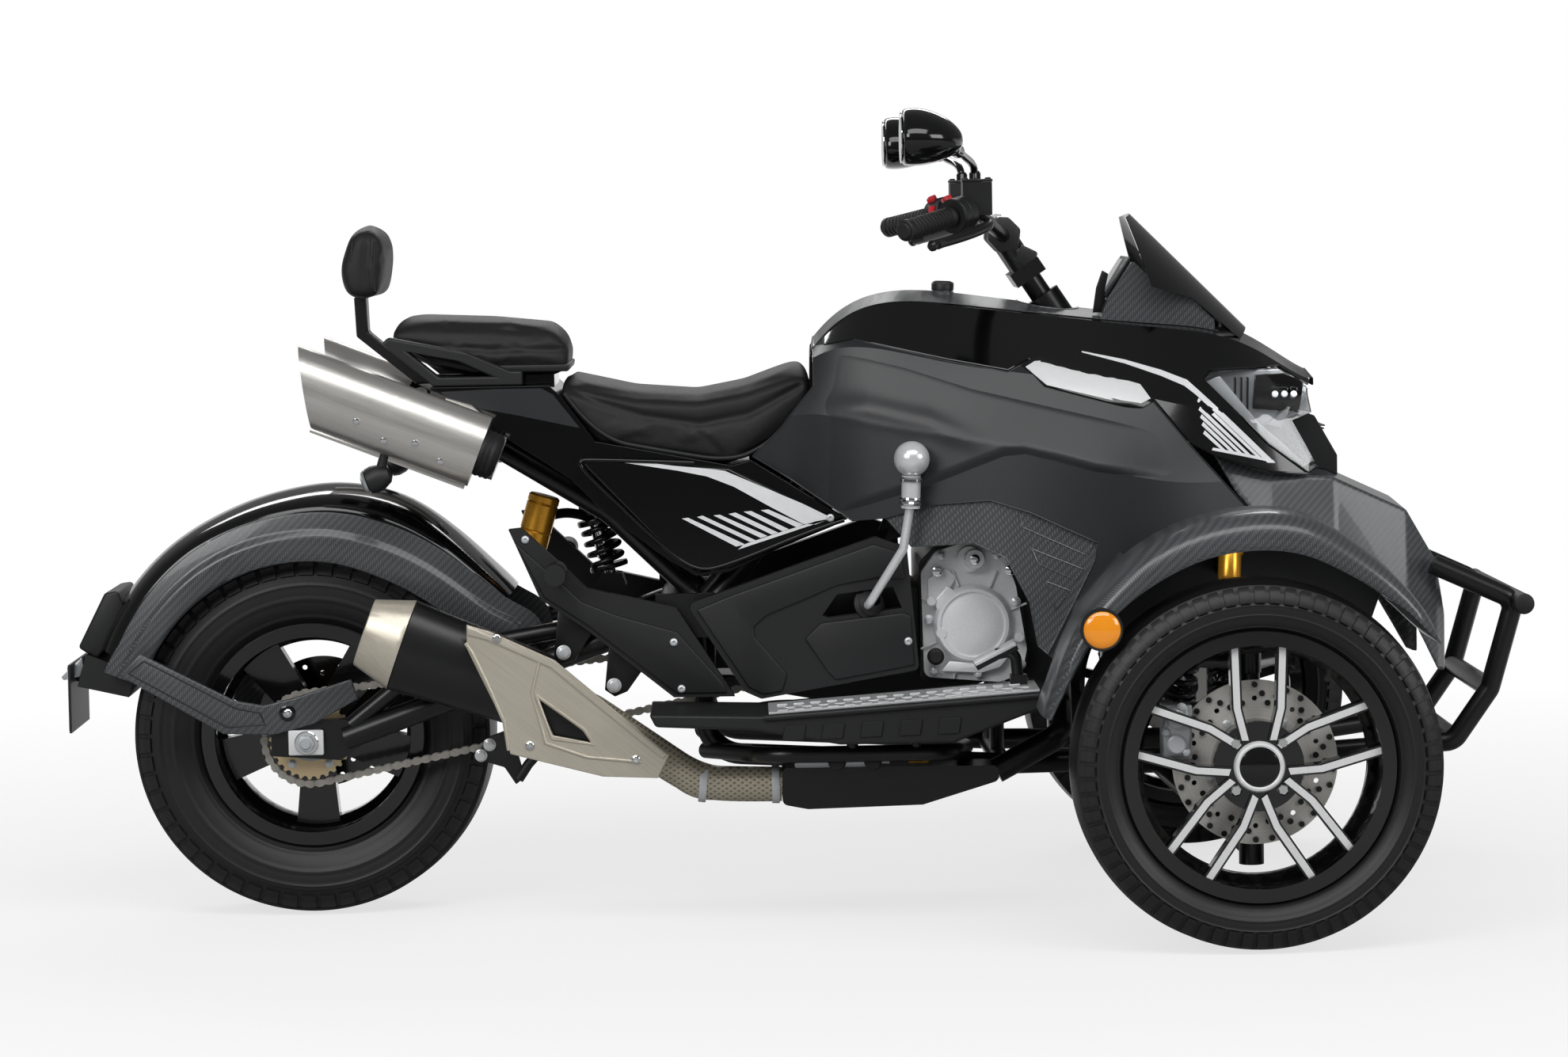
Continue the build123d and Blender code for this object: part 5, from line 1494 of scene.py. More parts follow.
    def _swell(self, fairing: Piece) -> None:
        """The moulded swell of the fairing: a rolled edge over the arch, a line above and a soft ridge.

        Args:
            fairing: Panel that it stands on.
        """
        clear()
        bpy.ops.mesh.primitive_grid_add(x_subdivisions=150, y_subdivisions=84, size=1.0)
        skin = take(bpy.context.object)
        (left, low), (right, high) = self.swell_from, self.swell_to
        size = Matrix.Diagonal(((right - left) * MM, (high - low) * MM, 1, 1))
        middle = at((left + right) / 2, OUTSIDE_Y, (low + high) / 2)
        placed(skin, middle @ Matrix.Rotation(math.pi / 2, 4, "X") @ size)
        laid(skin, [fairing], 0.0, 0.0)
        for vertex in skin.data.vertices:
            vertex.co.y -= self._lift(vertex.co.x / MM, vertex.co.z / MM) * MM
        skin.data.update()
        show_both(outward(skin), "fairing_swell", SATIN_GREY, sharp=80)

    def _apron(self, node: Piece) -> None:
        """The nose apron with its facets flowing into each other.

        Args:
            node: Faceted solid of the apron.
        """
        skin = loose(node)
        skin.data.remesh_voxel_size = self.apron_voxel * MM
        take(skin)
        bpy.ops.object.voxel_remesh()
        apply(skin, "SMOOTH", factor=0.5, iterations=14)
        show(skin, "apron_skin", WEAVE_FILM, sharp=70, replaces=["nose_apron"])

    def _painted_shade(self) -> None:
        """Dark inner walls of painted shade that close the view between wheel arch, nose and engine."""
        # Flat black sheets paint the shade seen through the openings
        walls = [slab(outline, -140, -136, 1.5) for outline in self.shade_outlines]
        show_both(walls, "inner_shade_walls", GRAINED_PLASTIC)

    def _lift(self, x: float, z: float) -> float:
        """How far the swell stands off the fairing; below zero it is sunk out of sight.

        Args:
            x: Station.
            z: Height.

        Returns:
            Millimetres.
        """
        foot, top = height_at(self.roll_line, x), height_at(self.crease_line, x)
        ends = rise((x - self.swell_from[0]) / 90) * rise((self.swell_to[0] - x) / 170)
        share = max(0.0, min(1.0, (z - foot) / max(1.0, top - foot)))
        body = (9.0 - 6.6 * share) * rise((z - foot + 8) / 20) * rise((top - z) / 9)
        ridge = 6.0 * math.exp(-((z - height_at(self.ridge_line, x)) / 17) ** 2) * rise((330 - x) / 120)
        return (body + ridge) * ends - 1.2

    def _relief(self, nodes: Nodes) -> None:
        """Raised fields of the lower and pivot covers, vent lines on the arches and the side cover's rim.

        Args:
            nodes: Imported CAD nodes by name.
        """
        fields = [slab(outline, -240.5, -235, 3.4, 3) for outline in self.lower_fields]
        fields.append(slab(self.pivot_field, -232.5, -227, 3.4, 3))
        show_both(fields, "cover_fields", GRAINED_PLASTIC, sharp=50)
        rim = pipe([(-150, -196, 727), (-312, -196, 735), (-333, -196, 733), (-324, -196, 714),
                    (-200, -196, 592), (-150, -196, 555), (-102, -196, 562), (40, -196, 619),
                    (86, -196, 632)], 3.4, True)
        show_both(rim, "side_cover_rims", GLOSS_BLACK)
        lines = []
        for loop in self.vents:
            line = wire([(x, OUTSIDE_Y, z) for x, z in loop] + [(loop[0][0], OUTSIDE_Y, loop[0][1])])
            edit_all(line)
            bpy.ops.mesh.subdivide(number_cuts=6)
            leave()
            lines.append(round_bar(laid(line, [nodes["arch_panels"]], 0.3), 1.3, False, 1))
        show_both(lines, "arch_vents", WEAVE_FILM)
        panel = wire([(x, OUTSIDE_Y, z) for x, z in self.tail_field], closed=True)
        placed(panel, at(0, 223.6, 0))
        show_both(apply(outward(panel), "SOLIDIFY", thickness=1.6 * MM, offset=0), "tail_fields", SATIN_GREY)
        tabs = [slab(outline, -203, -197, 1.5) for outline in self.tabs]
        show_both(tabs, "hanger_tabs", POWDER_BLACK)

    def _foot(self, x: float, z: float) -> Pair:
        """Where a bar that falls at the leg's slope meets the base stripe."""
        share = (z - 738 + 0.225 * (x - 664)) / (0.985 - 0.225)
        return x + share, z - 0.985 * share

    def _print(self, ribs: Sequence[tuple[Pair, Pair]], node: Piece | None) -> Piece:
        """A thin printed strip between two edge lines, laid on the side cover or projected on a node.

        Args:
            ribs: Points of both edges, in pairs.
            node: Panel, or None for the flat side cover.

        Returns:
            The strip.
        """
        y = OUTSIDE_Y if node else self.cover_y
        upper = wire([(x, y, z) for (x, z), _ in ribs])
        lower = wire([(x, y, z) for _, (x, z) in ribs])
        strip = joined([upper, lower])
        edit_all(strip, "EDGE")
        bpy.ops.mesh.bridge_edge_loops()
        if node:
            bpy.ops.mesh.select_all(action="SELECT")
            bpy.ops.mesh.subdivide(number_cuts=3)
        leave()
        if node:
            laid(strip, [node], 0.6)
        else:
            placed(strip, at(0, -0.35, 0))
        return apply(outward(strip), "SOLIDIFY", thickness=0.3 * MM, offset=0)

    def _badge(self, nodes: Nodes) -> None:
        """The blank plate with its dark rim, bent over both panels.

        Args:
            nodes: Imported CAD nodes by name.
        """
        panels = [nodes["side_fairings"], nodes["upper_cowl"]]
        middle = (471.0, 846.0)
        for name, finish, slot, grow, lift in (("badge_plate", BLANK_PLATE, "paint_black", 1.0, 1.2),
                                               ("badge_rim", GLOSS_BLACK, "gloss_black", 1.05, 0.0)):
            outline = [(middle[0] + (x - middle[0]) * grow, middle[1] + (z - middle[1]) * (3 * grow - 2))
                       for x, z in self.badge]
            plate = wire([(x, OUTSIDE_Y, z) for x, z in outline], closed=True)
            edit_all(plate, "FACE")
            bpy.ops.mesh.quads_convert_to_tris()
            bpy.ops.mesh.subdivide(number_cuts=5)
            leave()
            moulded(plate, panels, lift)
            show_both(apply(outward(plate), "SOLIDIFY", thickness=1.2 * MM, offset=0), name, finish,
                      slot=slot)

    def _fittings(self) -> None:
        """Screws on the panels, the filler cap and the small bracket on the console."""
        spots = [(716, -262, 632), (64, -196.5, 636), (183, -240.6, 442), (-187, -232.6, 446),
                 (-176, -232.6, 372), (-418, -228.2, 612)]
        screws = [placed(button_bolt(6.5, 4.0), outwards(spot)) for spot in spots]
        show_both(screws, "panel_screws", WHITE_ZINC)
        gusset = [placed(hex_bolt(15, 8), outwards(spot)) for spot in ((-362, -203, 430), (-283, -203, 376))]
        show_both(gusset, "gusset_bolts", WHITE_ZINC)
        cap = spun([(0, 8), (12, 8), (16.5, 6), (18.2, 3), (18.2, -6), (16, -8), (0, -8)], 30)
        show(placed(cap, along((256, 0, 996), (0.05, 0, 1))), "filler_cap", GRAINED_PLASTIC)
        upright = slab([(494, 950), (516, 950), (514, 985), (520, 1012), (510, 1018), (500, 990)], -62, -58,
                       1.2)
        show(upright, "console_bracket", POWDER_BLACK)


@dataclass
class ArchShell:
    """A shell that arches over a wheel, skinned over smooth rails that run round the axle.

    Rows of the arch are the angle up from straight ahead, the outer and the inner radius. Points of the
    section are the side-line and the share of the way from the inner to the outer radius.
    """

    axle: Pair
    arch: Arch
    section: Outline
    steps: int = 48

    def skin(self) -> Piece:
        """Bridges the rails into a ring and closes both ends.

        Returns:
            The shell.
        """
        rails = [wire([self._spot(n / self.steps, y, share) for n in range(self.steps + 1)])
                 for y, share in self.section]
        strips = []
        for first, second in zip(rails, rails[1:] + rails[:1]):
            strip = joined([twin(first), twin(second)])
            edit_all(strip, "EDGE")
            bpy.ops.mesh.bridge_edge_loops()
            leave()
            strips.append(strip)
        for rail in rails:
            bpy.data.objects.remove(rail)
        shell = tidy(joined(strips), 0.05)
        edit_all(shell)
        bpy.ops.mesh.fill_holes(sides=0)
        leave()
        return tidy(shell)

    def _spot(self, share: float, y: float, out: float) -> Place:
        """A point of the shell.

        Args:
            share: From the rear end, 0, to the front tip, 1.
            y: Side-line.
            out: From the inner face, 0, to the outer face, 1.

        Returns:
            The point in millimetres.
        """
        place = share * (len(self.arch) - 1)
        index = min(int(place), len(self.arch) - 2)
        rest = place - index
        rows = [self.arch[max(0, min(len(self.arch) - 1, index + step))] for step in (-1, 0, 1, 2)]
        angle, outer, inner = (self._flow(*column, rest) for column in zip(*rows))
        radius = inner + (outer - inner) * out
        turn = math.radians(angle)
        return self.axle[0] + radius * math.cos(turn), y, self.axle[1] + radius * math.sin(turn)

    def _flow(self, a: float, b: float, c: float, d: float, t: float) -> float:
        """A smooth value between b and c, with a and d as their neighbours."""
        return b + 0.5 * t * (c - a + t * (2 * a - 5 * b + 4 * c - d + t * (3 * (b - c) + d - a)))


@dataclass
class FrontFenders:
    """A crowned arch over each front wheel, carried on the body by a web."""

    axle: Pair = (692.0, 281.0)
    # Angle up from straight ahead, outer and inner radius
    arch: Arch = ((166, 335, 320), (155.5, 335, 313), (137, 352, 315), (118.5, 369, 318), (101.5, 379, 324),
                  (80.5, 384, 326), (63, 362, 317), (42, 341, 318), (34, 330, 325))
    # Side-line and share of the way from the inner to the outer radius, round the section
    section: Outline = ((-631, 0.0), (-636, 0.14), (-637, 0.36), (-633, 0.62), (-622, 0.83), (-602, 0.95),
                        (-566, 1.0), (-500, 1.0), (-470, 0.92), (-456, 0.7), (-455, 0.0))
    web: Outline = ((404, 420), (442, 508), (512, 584), (540, 566), (458, 500), (414, 420))

    def build(self) -> None:
        """Makes both fenders."""
        shell = ArchShell(self.axle, self.arch, self.section).skin()
        web = slab(self.web, -458, -262, 2)
        show_both([shell, web], "fender_shells", WEAVE_FILM, sharp=40, replaces=["front_fenders"])


@dataclass
class RearFender:
    """The gloss crown over the rear tyre, the twill band on its sides, the straps and the tail housing."""

    axle: Pair = (-773.0, 292.0)
    crown: Arch = ((156, 374, 338), (143, 378, 343), (128, 382, 350), (112, 385, 356), (97, 393, 360),
                   (83, 404, 365), (68.5, 407, 367), (54, 398, 370), (44, 396, 374), (34.7, 401, 388))
    crown_half: Outline = ((-136.5, 0.0), (-134.5, 0.2), (-127, 0.41), (-113, 0.6), (-92, 0.76), (-66, 0.88),
                           (-36, 0.965))
    band: Arch = ((161, 345, 281), (150, 341, 281), (130, 349, 282), (111, 356, 283), (97, 360, 283),
                  (83.5, 365, 283), (65, 367, 281), (46, 373, 290), (35, 388, 308), (27, 414, 344),
                  (20, 408, 384))
    band_section: Outline = ((-135.5, 1.0), (-137.2, 0.95), (-138.4, 0.7), (-140, 0.63), (-145.5, 0.56),
                             (-147, 0.48), (-145, 0.15), (-141, 0.03), (-133, 0.0))
    strap: Outline = ((-1066, 404), (-1034, 438), (-884, 360), (-842, 352), (-790, 364), (-700, 392),
                      (-690, 360), (-760, 322), (-825, 305), (-905, 308))
    emboss: Outline = ((-1028, 427), (-884, 349), (-846, 341), (-838, 322), (-898, 319), (-1052, 407),
                       (-1028, 427))

    def build(self) -> None:
        """Makes the fender's skins and fittings."""
        section = (*self.crown_half, (0.0, 1.0), *((-y, share) for y, share in reversed(self.crown_half)))
        crown = ArchShell(self.axle, self.crown, section, 60).skin()
        show(crown, "fender_crown", GLOSS_BLACK, sharp=40, replaces=["rear_fender_top"])
        band = ArchShell(self.axle, self.band, self.band_section, 60).skin()
        show_both(band, "fender_bands", WEAVE_FILM, sharp=50, replaces=["rear_fender"])
        strap = slab(self.strap, -192, -181, 2.5, 3)
        spacer = slab([(-1062, 406), (-1036, 430), (-1000, 412), (-1030, 380)], -184, -126, 1.5)
        show_both([strap, spacer], "fender_straps", WEAVE_FILM)
        line = pipe([(x, -191.6, z) for x, z in self.emboss], 1.6)
        show_both(line, "strap_emboss", SATIN_GREY)
        washer = turned([(0, 0), (13, 0), (13, 2), (11, 3), (0, 3)], 28, outwards((-802, -192, 340)))
        show_both(washer, "strap_washers", GLOSS_BLACK)
        screw = placed(button_bolt(8, 4.5), outwards((-802, -195, 340)))
        show_both(screw, "strap_screws", CHROME)
        block = slab([(-1101, 528), (-1080, 531), (-1070, 505), (-1092, 452), (-1116, 420), (-1146, 440)],
                     -92, 92, 5, 3)
        show(block, "tail_housing", GRAINED_PLASTIC)
        guide = slab([(-508, 256), (-490, 290), (-462, 300), (-430, 352), (-416, 346), (-440, 264),
                      (-430, 226), (-444, 214), (-462, 242)], -153, -143, 2)
        foot = pipe([(-404, -148, 268), (-424, -148, 246), (-440, -148, 222)], 8)
        show([guide, foot], "chain_guide", GRAINED_PLASTIC)
        bolts = [placed(hex_bolt(13, 6), outwards((x, -153, z))) for x, z in ((-485, 279), (-499, 262))]
        show(bolts, "guide_bolts", BRIGHT_SHEET, slot="zinc")


# Lamps

@dataclass
class Headlamps:
    """A clear lens over a bright bowl with three diode cells, a light guide and a trim leg."""

    outline: Outline = ((657, 844), (670, 858), (783, 860), (827, 829), (826, 791), (794, 779), (834, 705),
                        (820, 697), (756, 744), (719, 782))

    def build(self, nodes: Nodes) -> None:
        """Makes lens, bowl and cells for both sides.

        Args:
            nodes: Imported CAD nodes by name.
        """
        lens = loose(nodes["headlamps"])
        pick(lens, lambda m, n: not (abs(m.y) > 130 and abs(n.y) > 0.25 or abs(m.y) > 80 and n.x > 0.35))
        bpy.ops.mesh.delete(type="FACE")
        leave()
        apply(lens, "SOLIDIFY", thickness=2.2 * MM, offset=-1)
        show(lens, "headlamp_lenses", CLEAR_LENS, sharp=40, replaces=["headlamps"])
        mid = (752.0, 800.0)
        small = [(mid[0] + (x - mid[0]) * 0.975, mid[1] + (z - mid[1]) * 0.965) for x, z in self.outline]
        back = slab(small, -158, -96, 2)
        show_both(back, "headlamp_bowls", METALLISED, slot="chrome")
        shade = slab([(738, 796), (812, 790), (820, 838), (788, 852), (742, 850)], -168, -157.8, 2)
        rings = [slab([(x, 808), (x + 12, 807), (x + 13, 830), (x + 1, 831)], -178, -167.8, 2)
                 for x in (766, 781, 796)]
        show_both([shade, *rings], "diode_frames", GLOSS_BLACK)
        lights = [turned([(0, 4), (3, 3.4), (5.2, 0), (0, 0)], 20, outwards((x + 6.5, -178.2, 819)))
                  for x in (766, 781, 796)]
        show_both(lights, "diode_lenses", DIODE_WHITE)
        strip = slab([(661, 842), (684, 850), (744, 776), (822, 706), (814, 702), (736, 760)], -190, -157.8,
                     2.5)
        fang = slab([(795, 800), (756, 772), (780, 765)], -196, -157.8, 2)
        show_both([strip, fang], "light_guides", CALIPER_GREY)
        front = slab([(825.5, 794), (828, 794), (828, 827), (825.5, 827)], -150, -104, 0.8)
        show_both(front, "lamp_fronts", GLOSS_BLACK)
        beams = [turned([(0, 4), (3, 3.4), (5.2, 0), (0, 0)], 20, along((828, y, 811), (1, 0, 0)))
                 for y in (-114, -127, -140)]
        show_both(beams, "beam_lenses", DIODE_WHITE)
        wall = slab([(796, 690), (802, 690), (802, 842), (796, 846)], -94, 94, 1)
        show(wall, "nose_wall", GRAINED_PLASTIC)
        fins = [slab([(x, 792), (x + 3, 791), (x + 4, 846), (x + 1, 847)], -172, -157.8, 0.8, 1)
                for x in (708, 718, 728)]
        show_both(fins, "bowl_fins", GLOSS_BLACK)


# Cockpit

@dataclass
class Cockpit:
    """Grips, mirrors, switches and clamps on the bar, and the display in the dash."""

    tip: Place = (186.0, -372.0, 1090.0)
    bend: Place = (296.0, -225.0, 1118.0)
    # Station and scale of the mirror's outline, from the glass forward
    mirror_rings: tuple[Pair, ...] = ((176.0, 0.93), (182.0, 1.03), (200.0, 1.06), (222.0, 0.97),
                                      (244.0, 0.78), (262.0, 0.5), (272.0, 0.22))
    mirror_outline: Outline = ((-338, 1214), (-344, 1246), (-366, 1268), (-402, 1277), (-440, 1268),
                               (-464, 1244), (-468, 1220), (-444, 1198), (-404, 1187), (-362, 1192))

    def build(self) -> None:
        """Makes the pieces that turn with the bar, and the display."""
        grip = placed(self._grip(), along(self.tip, tuple(Vector(self.bend) - Vector(self.tip))))
        show_both(grip, "ribbed_grips", SOFT_RUBBER, body="handlebar", replaces=["grips"])
        self._mirrors()
        self._switches()
        self._clamps()
        face = slab([(515, 976), (556, 1038), (560, 1035), (519, 973)], -78, 78, 1.5)
        show(placed(face, at(-3.5, 0, 1.5)), "display_frame", GRAINED_PLASTIC)
        glass = slab([(520, 982), (553, 1033), (555, 1032), (522, 981)], -66, 66, 0.6)
        show(placed(glass, at(-5.5, 0, 2.0)), "display_glass", DISPLAY_GLASS)

    def _grip(self) -> Piece:
        """A moulded grip from the bar's tip inwards, with rings of raised ribs between two collars.

        Returns:
            The grip.
        """
        profile: list[Pair] = [(0, -8), (14, -8), (16.8, -6), (16.8, 2), (15.4, 4)]
        for n in range(11):
            start = 7 + n * 9.2
            profile += [(14.6, start), (16.6, start + 1.6), (16.6, start + 5.4), (14.6, start + 7.0)]
        profile += [(15.4, 110), (17.0, 112), (17.0, 118), (12.0, 118), (0, 118)]
        body = spun(profile, 40)
        weight = spun([(0, -13), (11, -13), (13, -11.5), (13, -8), (0, -8)], 32)
        return joined([body, weight])

    def _mirrors(self) -> None:
        """Deep drop-shaped shells with their glass, on bent stems."""
        middle = (-402.0, 1231.0)

        def ring(x: float, scale: float) -> list[Place]:
            """The shell's outline at a station, shrunk and lowered by its scale."""
            return [(x, middle[0] + (y - middle[0]) * scale,
                     middle[1] - (1 - scale) * 8 + (z - middle[1]) * scale) for y, z in self.mirror_outline]

        (first, size), *rest = self.mirror_rings
        shell = wire(ring(first, size), closed=True)
        edit_all(shell, "FACE")
        last_x, last_size = first, size
        centre = Vector((first, middle[0], middle[1] - (1 - size) * 8))
        for x, scale in rest:
            step, ratio = Vector((x - last_x, 0, -(last_size - scale) * 8)), scale / last_size
            bpy.ops.mesh.extrude_region_move(TRANSFORM_OT_translate={"value": step * MM})
            centre += step
            bpy.ops.transform.resize(value=(1, ratio, ratio), center_override=centre * MM)
            last_x, last_size = x, scale
        leave()
        tidy(shell)
        apply(shell, "SUBSURF", levels=2, render_levels=2)
        glass = wire(ring(first - 0.6, 0.86), closed=True)
        edit_all(glass, "FACE")
        bpy.ops.mesh.extrude_region_move(TRANSFORM_OT_translate={"value": (2 * MM, 0, 0)})
        leave()
        stem = pipe([(300, -200, 1150), (300, -200, 1176), (296, -214, 1192), (276, -290, 1204),
                     (264, -350, 1214), (256, -380, 1222)], 6, True)
        foot = turned([(0, 0), (12, 0), (12, 8), (9, 14), (9, 26), (6, 30), (0, 30)], 24,
                      along((300, -200, 1150), (0, 0, 1)))
        boot = turned([(0, 0), (9, 0), (11, 8), (10, 20), (13, 34), (0, 34)], 20,
                      along((270, -318, 1208), (-0.35, -0.9, 0.2)))
        show_both([shell, foot, boot, stem], "mirror_shells", GLOSS_BLACK, body="handlebar", sharp=45,
                  replaces=["mirrors"])
        show_both(soften(tidy(glass), 0.5, 1), "mirror_glasses", SILVERED, body="handlebar")

    def _switches(self) -> None:
        """Switch boxes with their keys, reservoir lids and brake levers."""
        unit = (Vector(self.bend) - Vector(self.tip)).normalized()
        start = Vector(self.tip) + unit * 124
        box = turned([(12, 0), (25, 0), (27.5, 3), (27.5, 17), (26.8, 18), (27.5, 19), (27.5, 34), (25, 37),
                      (12, 37), (12, 0)], 36, along(tuple(start), tuple(unit)))
        show_both(box, "switch_boxes", GRAINED_PLASTIC, body="handlebar")
        keys = []
        for along_bar, turn, size in ((10, -20, 7), (26, -70, 6)):
            out = Matrix.Rotation(math.radians(turn), 3, unit) @ Vector((-0.2, 0.0, 1.0)).normalized()
            place = along(tuple(start + unit * along_bar + out * 25), tuple(out))
            keys.append(placed(slab([(-size, -size), (size, -size), (size, size), (-size, size)], 0, 9, 1.5),
                               place))
        show_both(keys, "red_keys", RED_KEY, body="handlebar")
        lid = slab([(278, 1162.2), (326, 1162.2), (326, 1167), (278, 1167)], -233, -175, 1.5)
        screws = [placed(button_bolt(4, 2.5), along((x, y, 1167), (0, 0, 1))) for x in (284, 320)
                  for y in (-226, -182)]
        show_both([lid, *screws], "reservoir_lids", GRAINED_PLASTIC, body="handlebar")
        lever = pipe([(304, -214, 1106), (322, -246, 1098), (312, -280, 1090), (270, -330, 1076),
                      (226, -374, 1066)], 7.6, True)
        ball = turned([(0, -8), (5, -7), (8.5, -2), (8.5, 2), (5, 7), (0, 8)], 18,
                      along((224, -377, 1065), (-0.6, -0.7, -0.1)))
        show_both([lever, ball], "brake_levers", POWDER_BLACK, body="handlebar")

    def _clamps(self) -> None:
        """Split clamps with their screws on the risers."""
        caps = []
        for y in (-42, 42):
            caps.append(slab([(326, 1070), (332, 1104), (360, 1106), (380, 1086), (376, 1052), (346, 1048)],
                             y - 21, y + 21, 4))
            caps.append(slab([(364, 1036), (380, 1062), (408, 1048), (396, 1018)], y - 20, y + 20, 4))
        show(caps, "riser_clamps", GRAINED_PLASTIC, body="handlebar")
        screws = [placed(button_bolt(6, 4), along((345, y + d, 1105.5), (-0.55, 0, 0.83))) for y in (-42, 42)
                  for d in (-12, 12)]
        show(screws, "clamp_screws", WHITE_ZINC, body="handlebar")


# Engine bay and controls

@dataclass
class EngineBay:
    """Bolts, ribs and caps of the bright engine cover, and the fins of the barrel behind it."""

    dome: Pair = (288.0, 462.0)
    bolts: Outline = ((226, 388), (218, 470), (238, 572), (328, 572), (357, 496), (364, 396), (296, 382))
    # Station, height and radius
    bosses: Arch = ((292, 566, 17), (238, 449, 10), (232, 548, 9), (348, 548, 9), (222, 500, 8),
                    (362, 440, 8))
    pads: tuple[Outline, ...] = (
        ((226, 500), (248, 524), (272, 508), (262, 476), (236, 470)),
        ((236, 388), (300, 384), (330, 392), (352, 420), (300, 400), (250, 404)))

    def build(self) -> None:
        """Makes everything that is fixed to the engine's right side."""
        heads = [placed(hex_bolt(9, 6), outwards((x, -182.2, z))) for x, z in self.bolts]
        show(heads, "cover_bolts", WHITE_ZINC)
        x, z = self.dome
        ring = turned([(49, -193), (52, -196.5), (57, -196), (61.5, -190), (62.6, -185), (49, -185),
                       (49, -193)], 56, at(x, 0, z))
        ribs = [placed(slab([(-2.2, 64), (2.2, 64), (1.6, 92), (-1.6, 92)], -182, -176.2, 0.8, 1),
                       at(x, 0, z) @ about_y(a)) for a in (-62, -20, 25, 70, 112, 200, 245)]
        hub = turned([(0, -199.5), (22, -198.5), (38, -196.5), (47, -194.2), (0, -194.2)], 40, at(x, 0, z))
        bosses = [turned([(0, -196), (r - 2, -196), (r, -194), (r, -176), (0, -176)], 26, at(bx, 0, bz))
                  for bx, bz, r in self.bosses]
        pads = [slab(outline, -191, -182, 2.5) for outline in self.pads]
        show([ring, hub, *bosses, *pads, *ribs], "cover_castings", CAST_ALLOY)
        eyes = [placed(hex_bolt(10, 4), outwards((bx, -196, bz)))
                for bx, bz in ((292, 566), (232, 548), (348, 548))]
        show(eyes, "boss_bolts", CHROME)
        cap = turned([(0, -202), (9, -202), (12, -200), (13.5, -196), (13.5, -188.2), (0, -188.2)], 22,
                     at(228, 0, 412))
        stick = turned([(0, -12), (9, -12), (11, -8), (11, 0), (0, 0)], 20,
                       along((300, -178, 622), (0, -0.5, 0.85)))
        hoses = [pipe([(236, -168, 600), (224, -172, 626), (196, -168, 640), (150, -150, 632)], 8, True),
                 pipe([(330, -164, 604), (352, -176, 612), (366, -170, 580), (372, -150, 540)], 7, True)]
        show([cap, stick, *hoses], "oil_cap_and_hoses", SOFT_RUBBER)
        fins = [slab([(232 + 11 * n, 588 + 9 * n), (236 + 11 * n, 586 + 9 * n), (376 + 5 * n, 540 + 15 * n),
                      (372 + 5 * n, 543 + 15 * n)], -118, -85.2, 0.6, 1) for n in range(6)]
        show(fins, "barrel_fins", POWDER_BLACK)


@dataclass
class Footrests:
    """Bars on the foot plates, ribs on the boards, the toe pad, the gear lever's joints and a tube below."""

    def build(self) -> None:
        """Makes the details of both footboards and the hand lever."""
        bars = []
        for n in range(15):
            x = -18 + n * 26
            z = 352 + (x - 60) * 24 / 340 if x > 60 else 345 + (x + 52) * 7 / 112
            tilt = about_y(-4 if x > 60 else -3.6)
            for y in (-372, -332, -292):
                bars.append(at(x + (12 if y == -332 else 0), y, z + 3.7) @ tilt)
        bar = slab([(-9, 0), (9, 0), (7.5, 2.2), (-7.5, 2.2)], -13, 13, 0.8)
        show_both(copied(bar, bars), "tread_bars", BRIGHT_SHEET)
        edge = pipe([(-46, -397, 342), (58, -397.5, 348), (398, -397, 371)], 5)
        show_both(edge, "board_lips", GRAINED_PLASTIC)
        ribs = [slab([(x, 306 + n * 1.5), (x + 34, 307 + n * 1.5), (x + 38, 330 + n * 2),
                      (x + 4, 329 + n * 2)], -398, -394.8, 1.2, 1)
                for n, x in enumerate((-20, 40, 100, 160, 220))]
        show_both(ribs, "board_ribs", GRAINED_PLASTIC)
        toe = slab([(282, 413.5), (347, 445), (349, 440), (285, 409)], -322, -258, 1.2)
        show(toe, "toe_pad", BRIGHT_SHEET)
        collar = turned([(15.2, 0), (17, 0), (17.6, 3), (15.8, 6), (17.6, 9), (17, 12), (15.2, 12),
                         (15.2, 0)], 32, along((188, -280, 660), (2, -1, 51)))
        top = turned([(10, 0), (18, 0), (18, 4), (13, 9), (10, 9), (10, 0)], 32,
                     along((190, -281, 697), (1, 0, 26)))
        show([collar, top], "lever_collars", CHROME)
        tube = turned([(0, 0), (13, 0), (14.5, 2), (14.5, 118), (13, 120), (10, 121), (10, 148), (0, 148)],
                      28, along((0, -300, 266), (1, 0, 0)))
        show(tube, "clutch_tube", CALIPER_GREY)
        ends = [turned([(0, -12), (11, -12), (14, -9), (14, 9), (11, 12), (0, 12)], 20,
                       outwards((x, -314, 262))) for x in (66, 122)]
        show(ends, "tube_knobs", SOFT_RUBBER)
        nipple = turned([(0, 0), (4, 0), (4, 32), (8, 32), (8, 62), (5, 66), (0, 66)], 6,
                        along((146, -300, 264), (1, 0, 0)))
        show(nipple, "tube_nipple", GOLD_ANODISED)
        boot = turned([(8, 0), (26, 0), (26, 3), (20, 8), (21, 12), (14, 18), (15, 22), (8.2, 28), (8, 0)],
                      28, along((122, -225, 500), (0.25, -0.6, 0.2)))
        show(boot, "lever_boot", SOFT_RUBBER)


# Exhaust

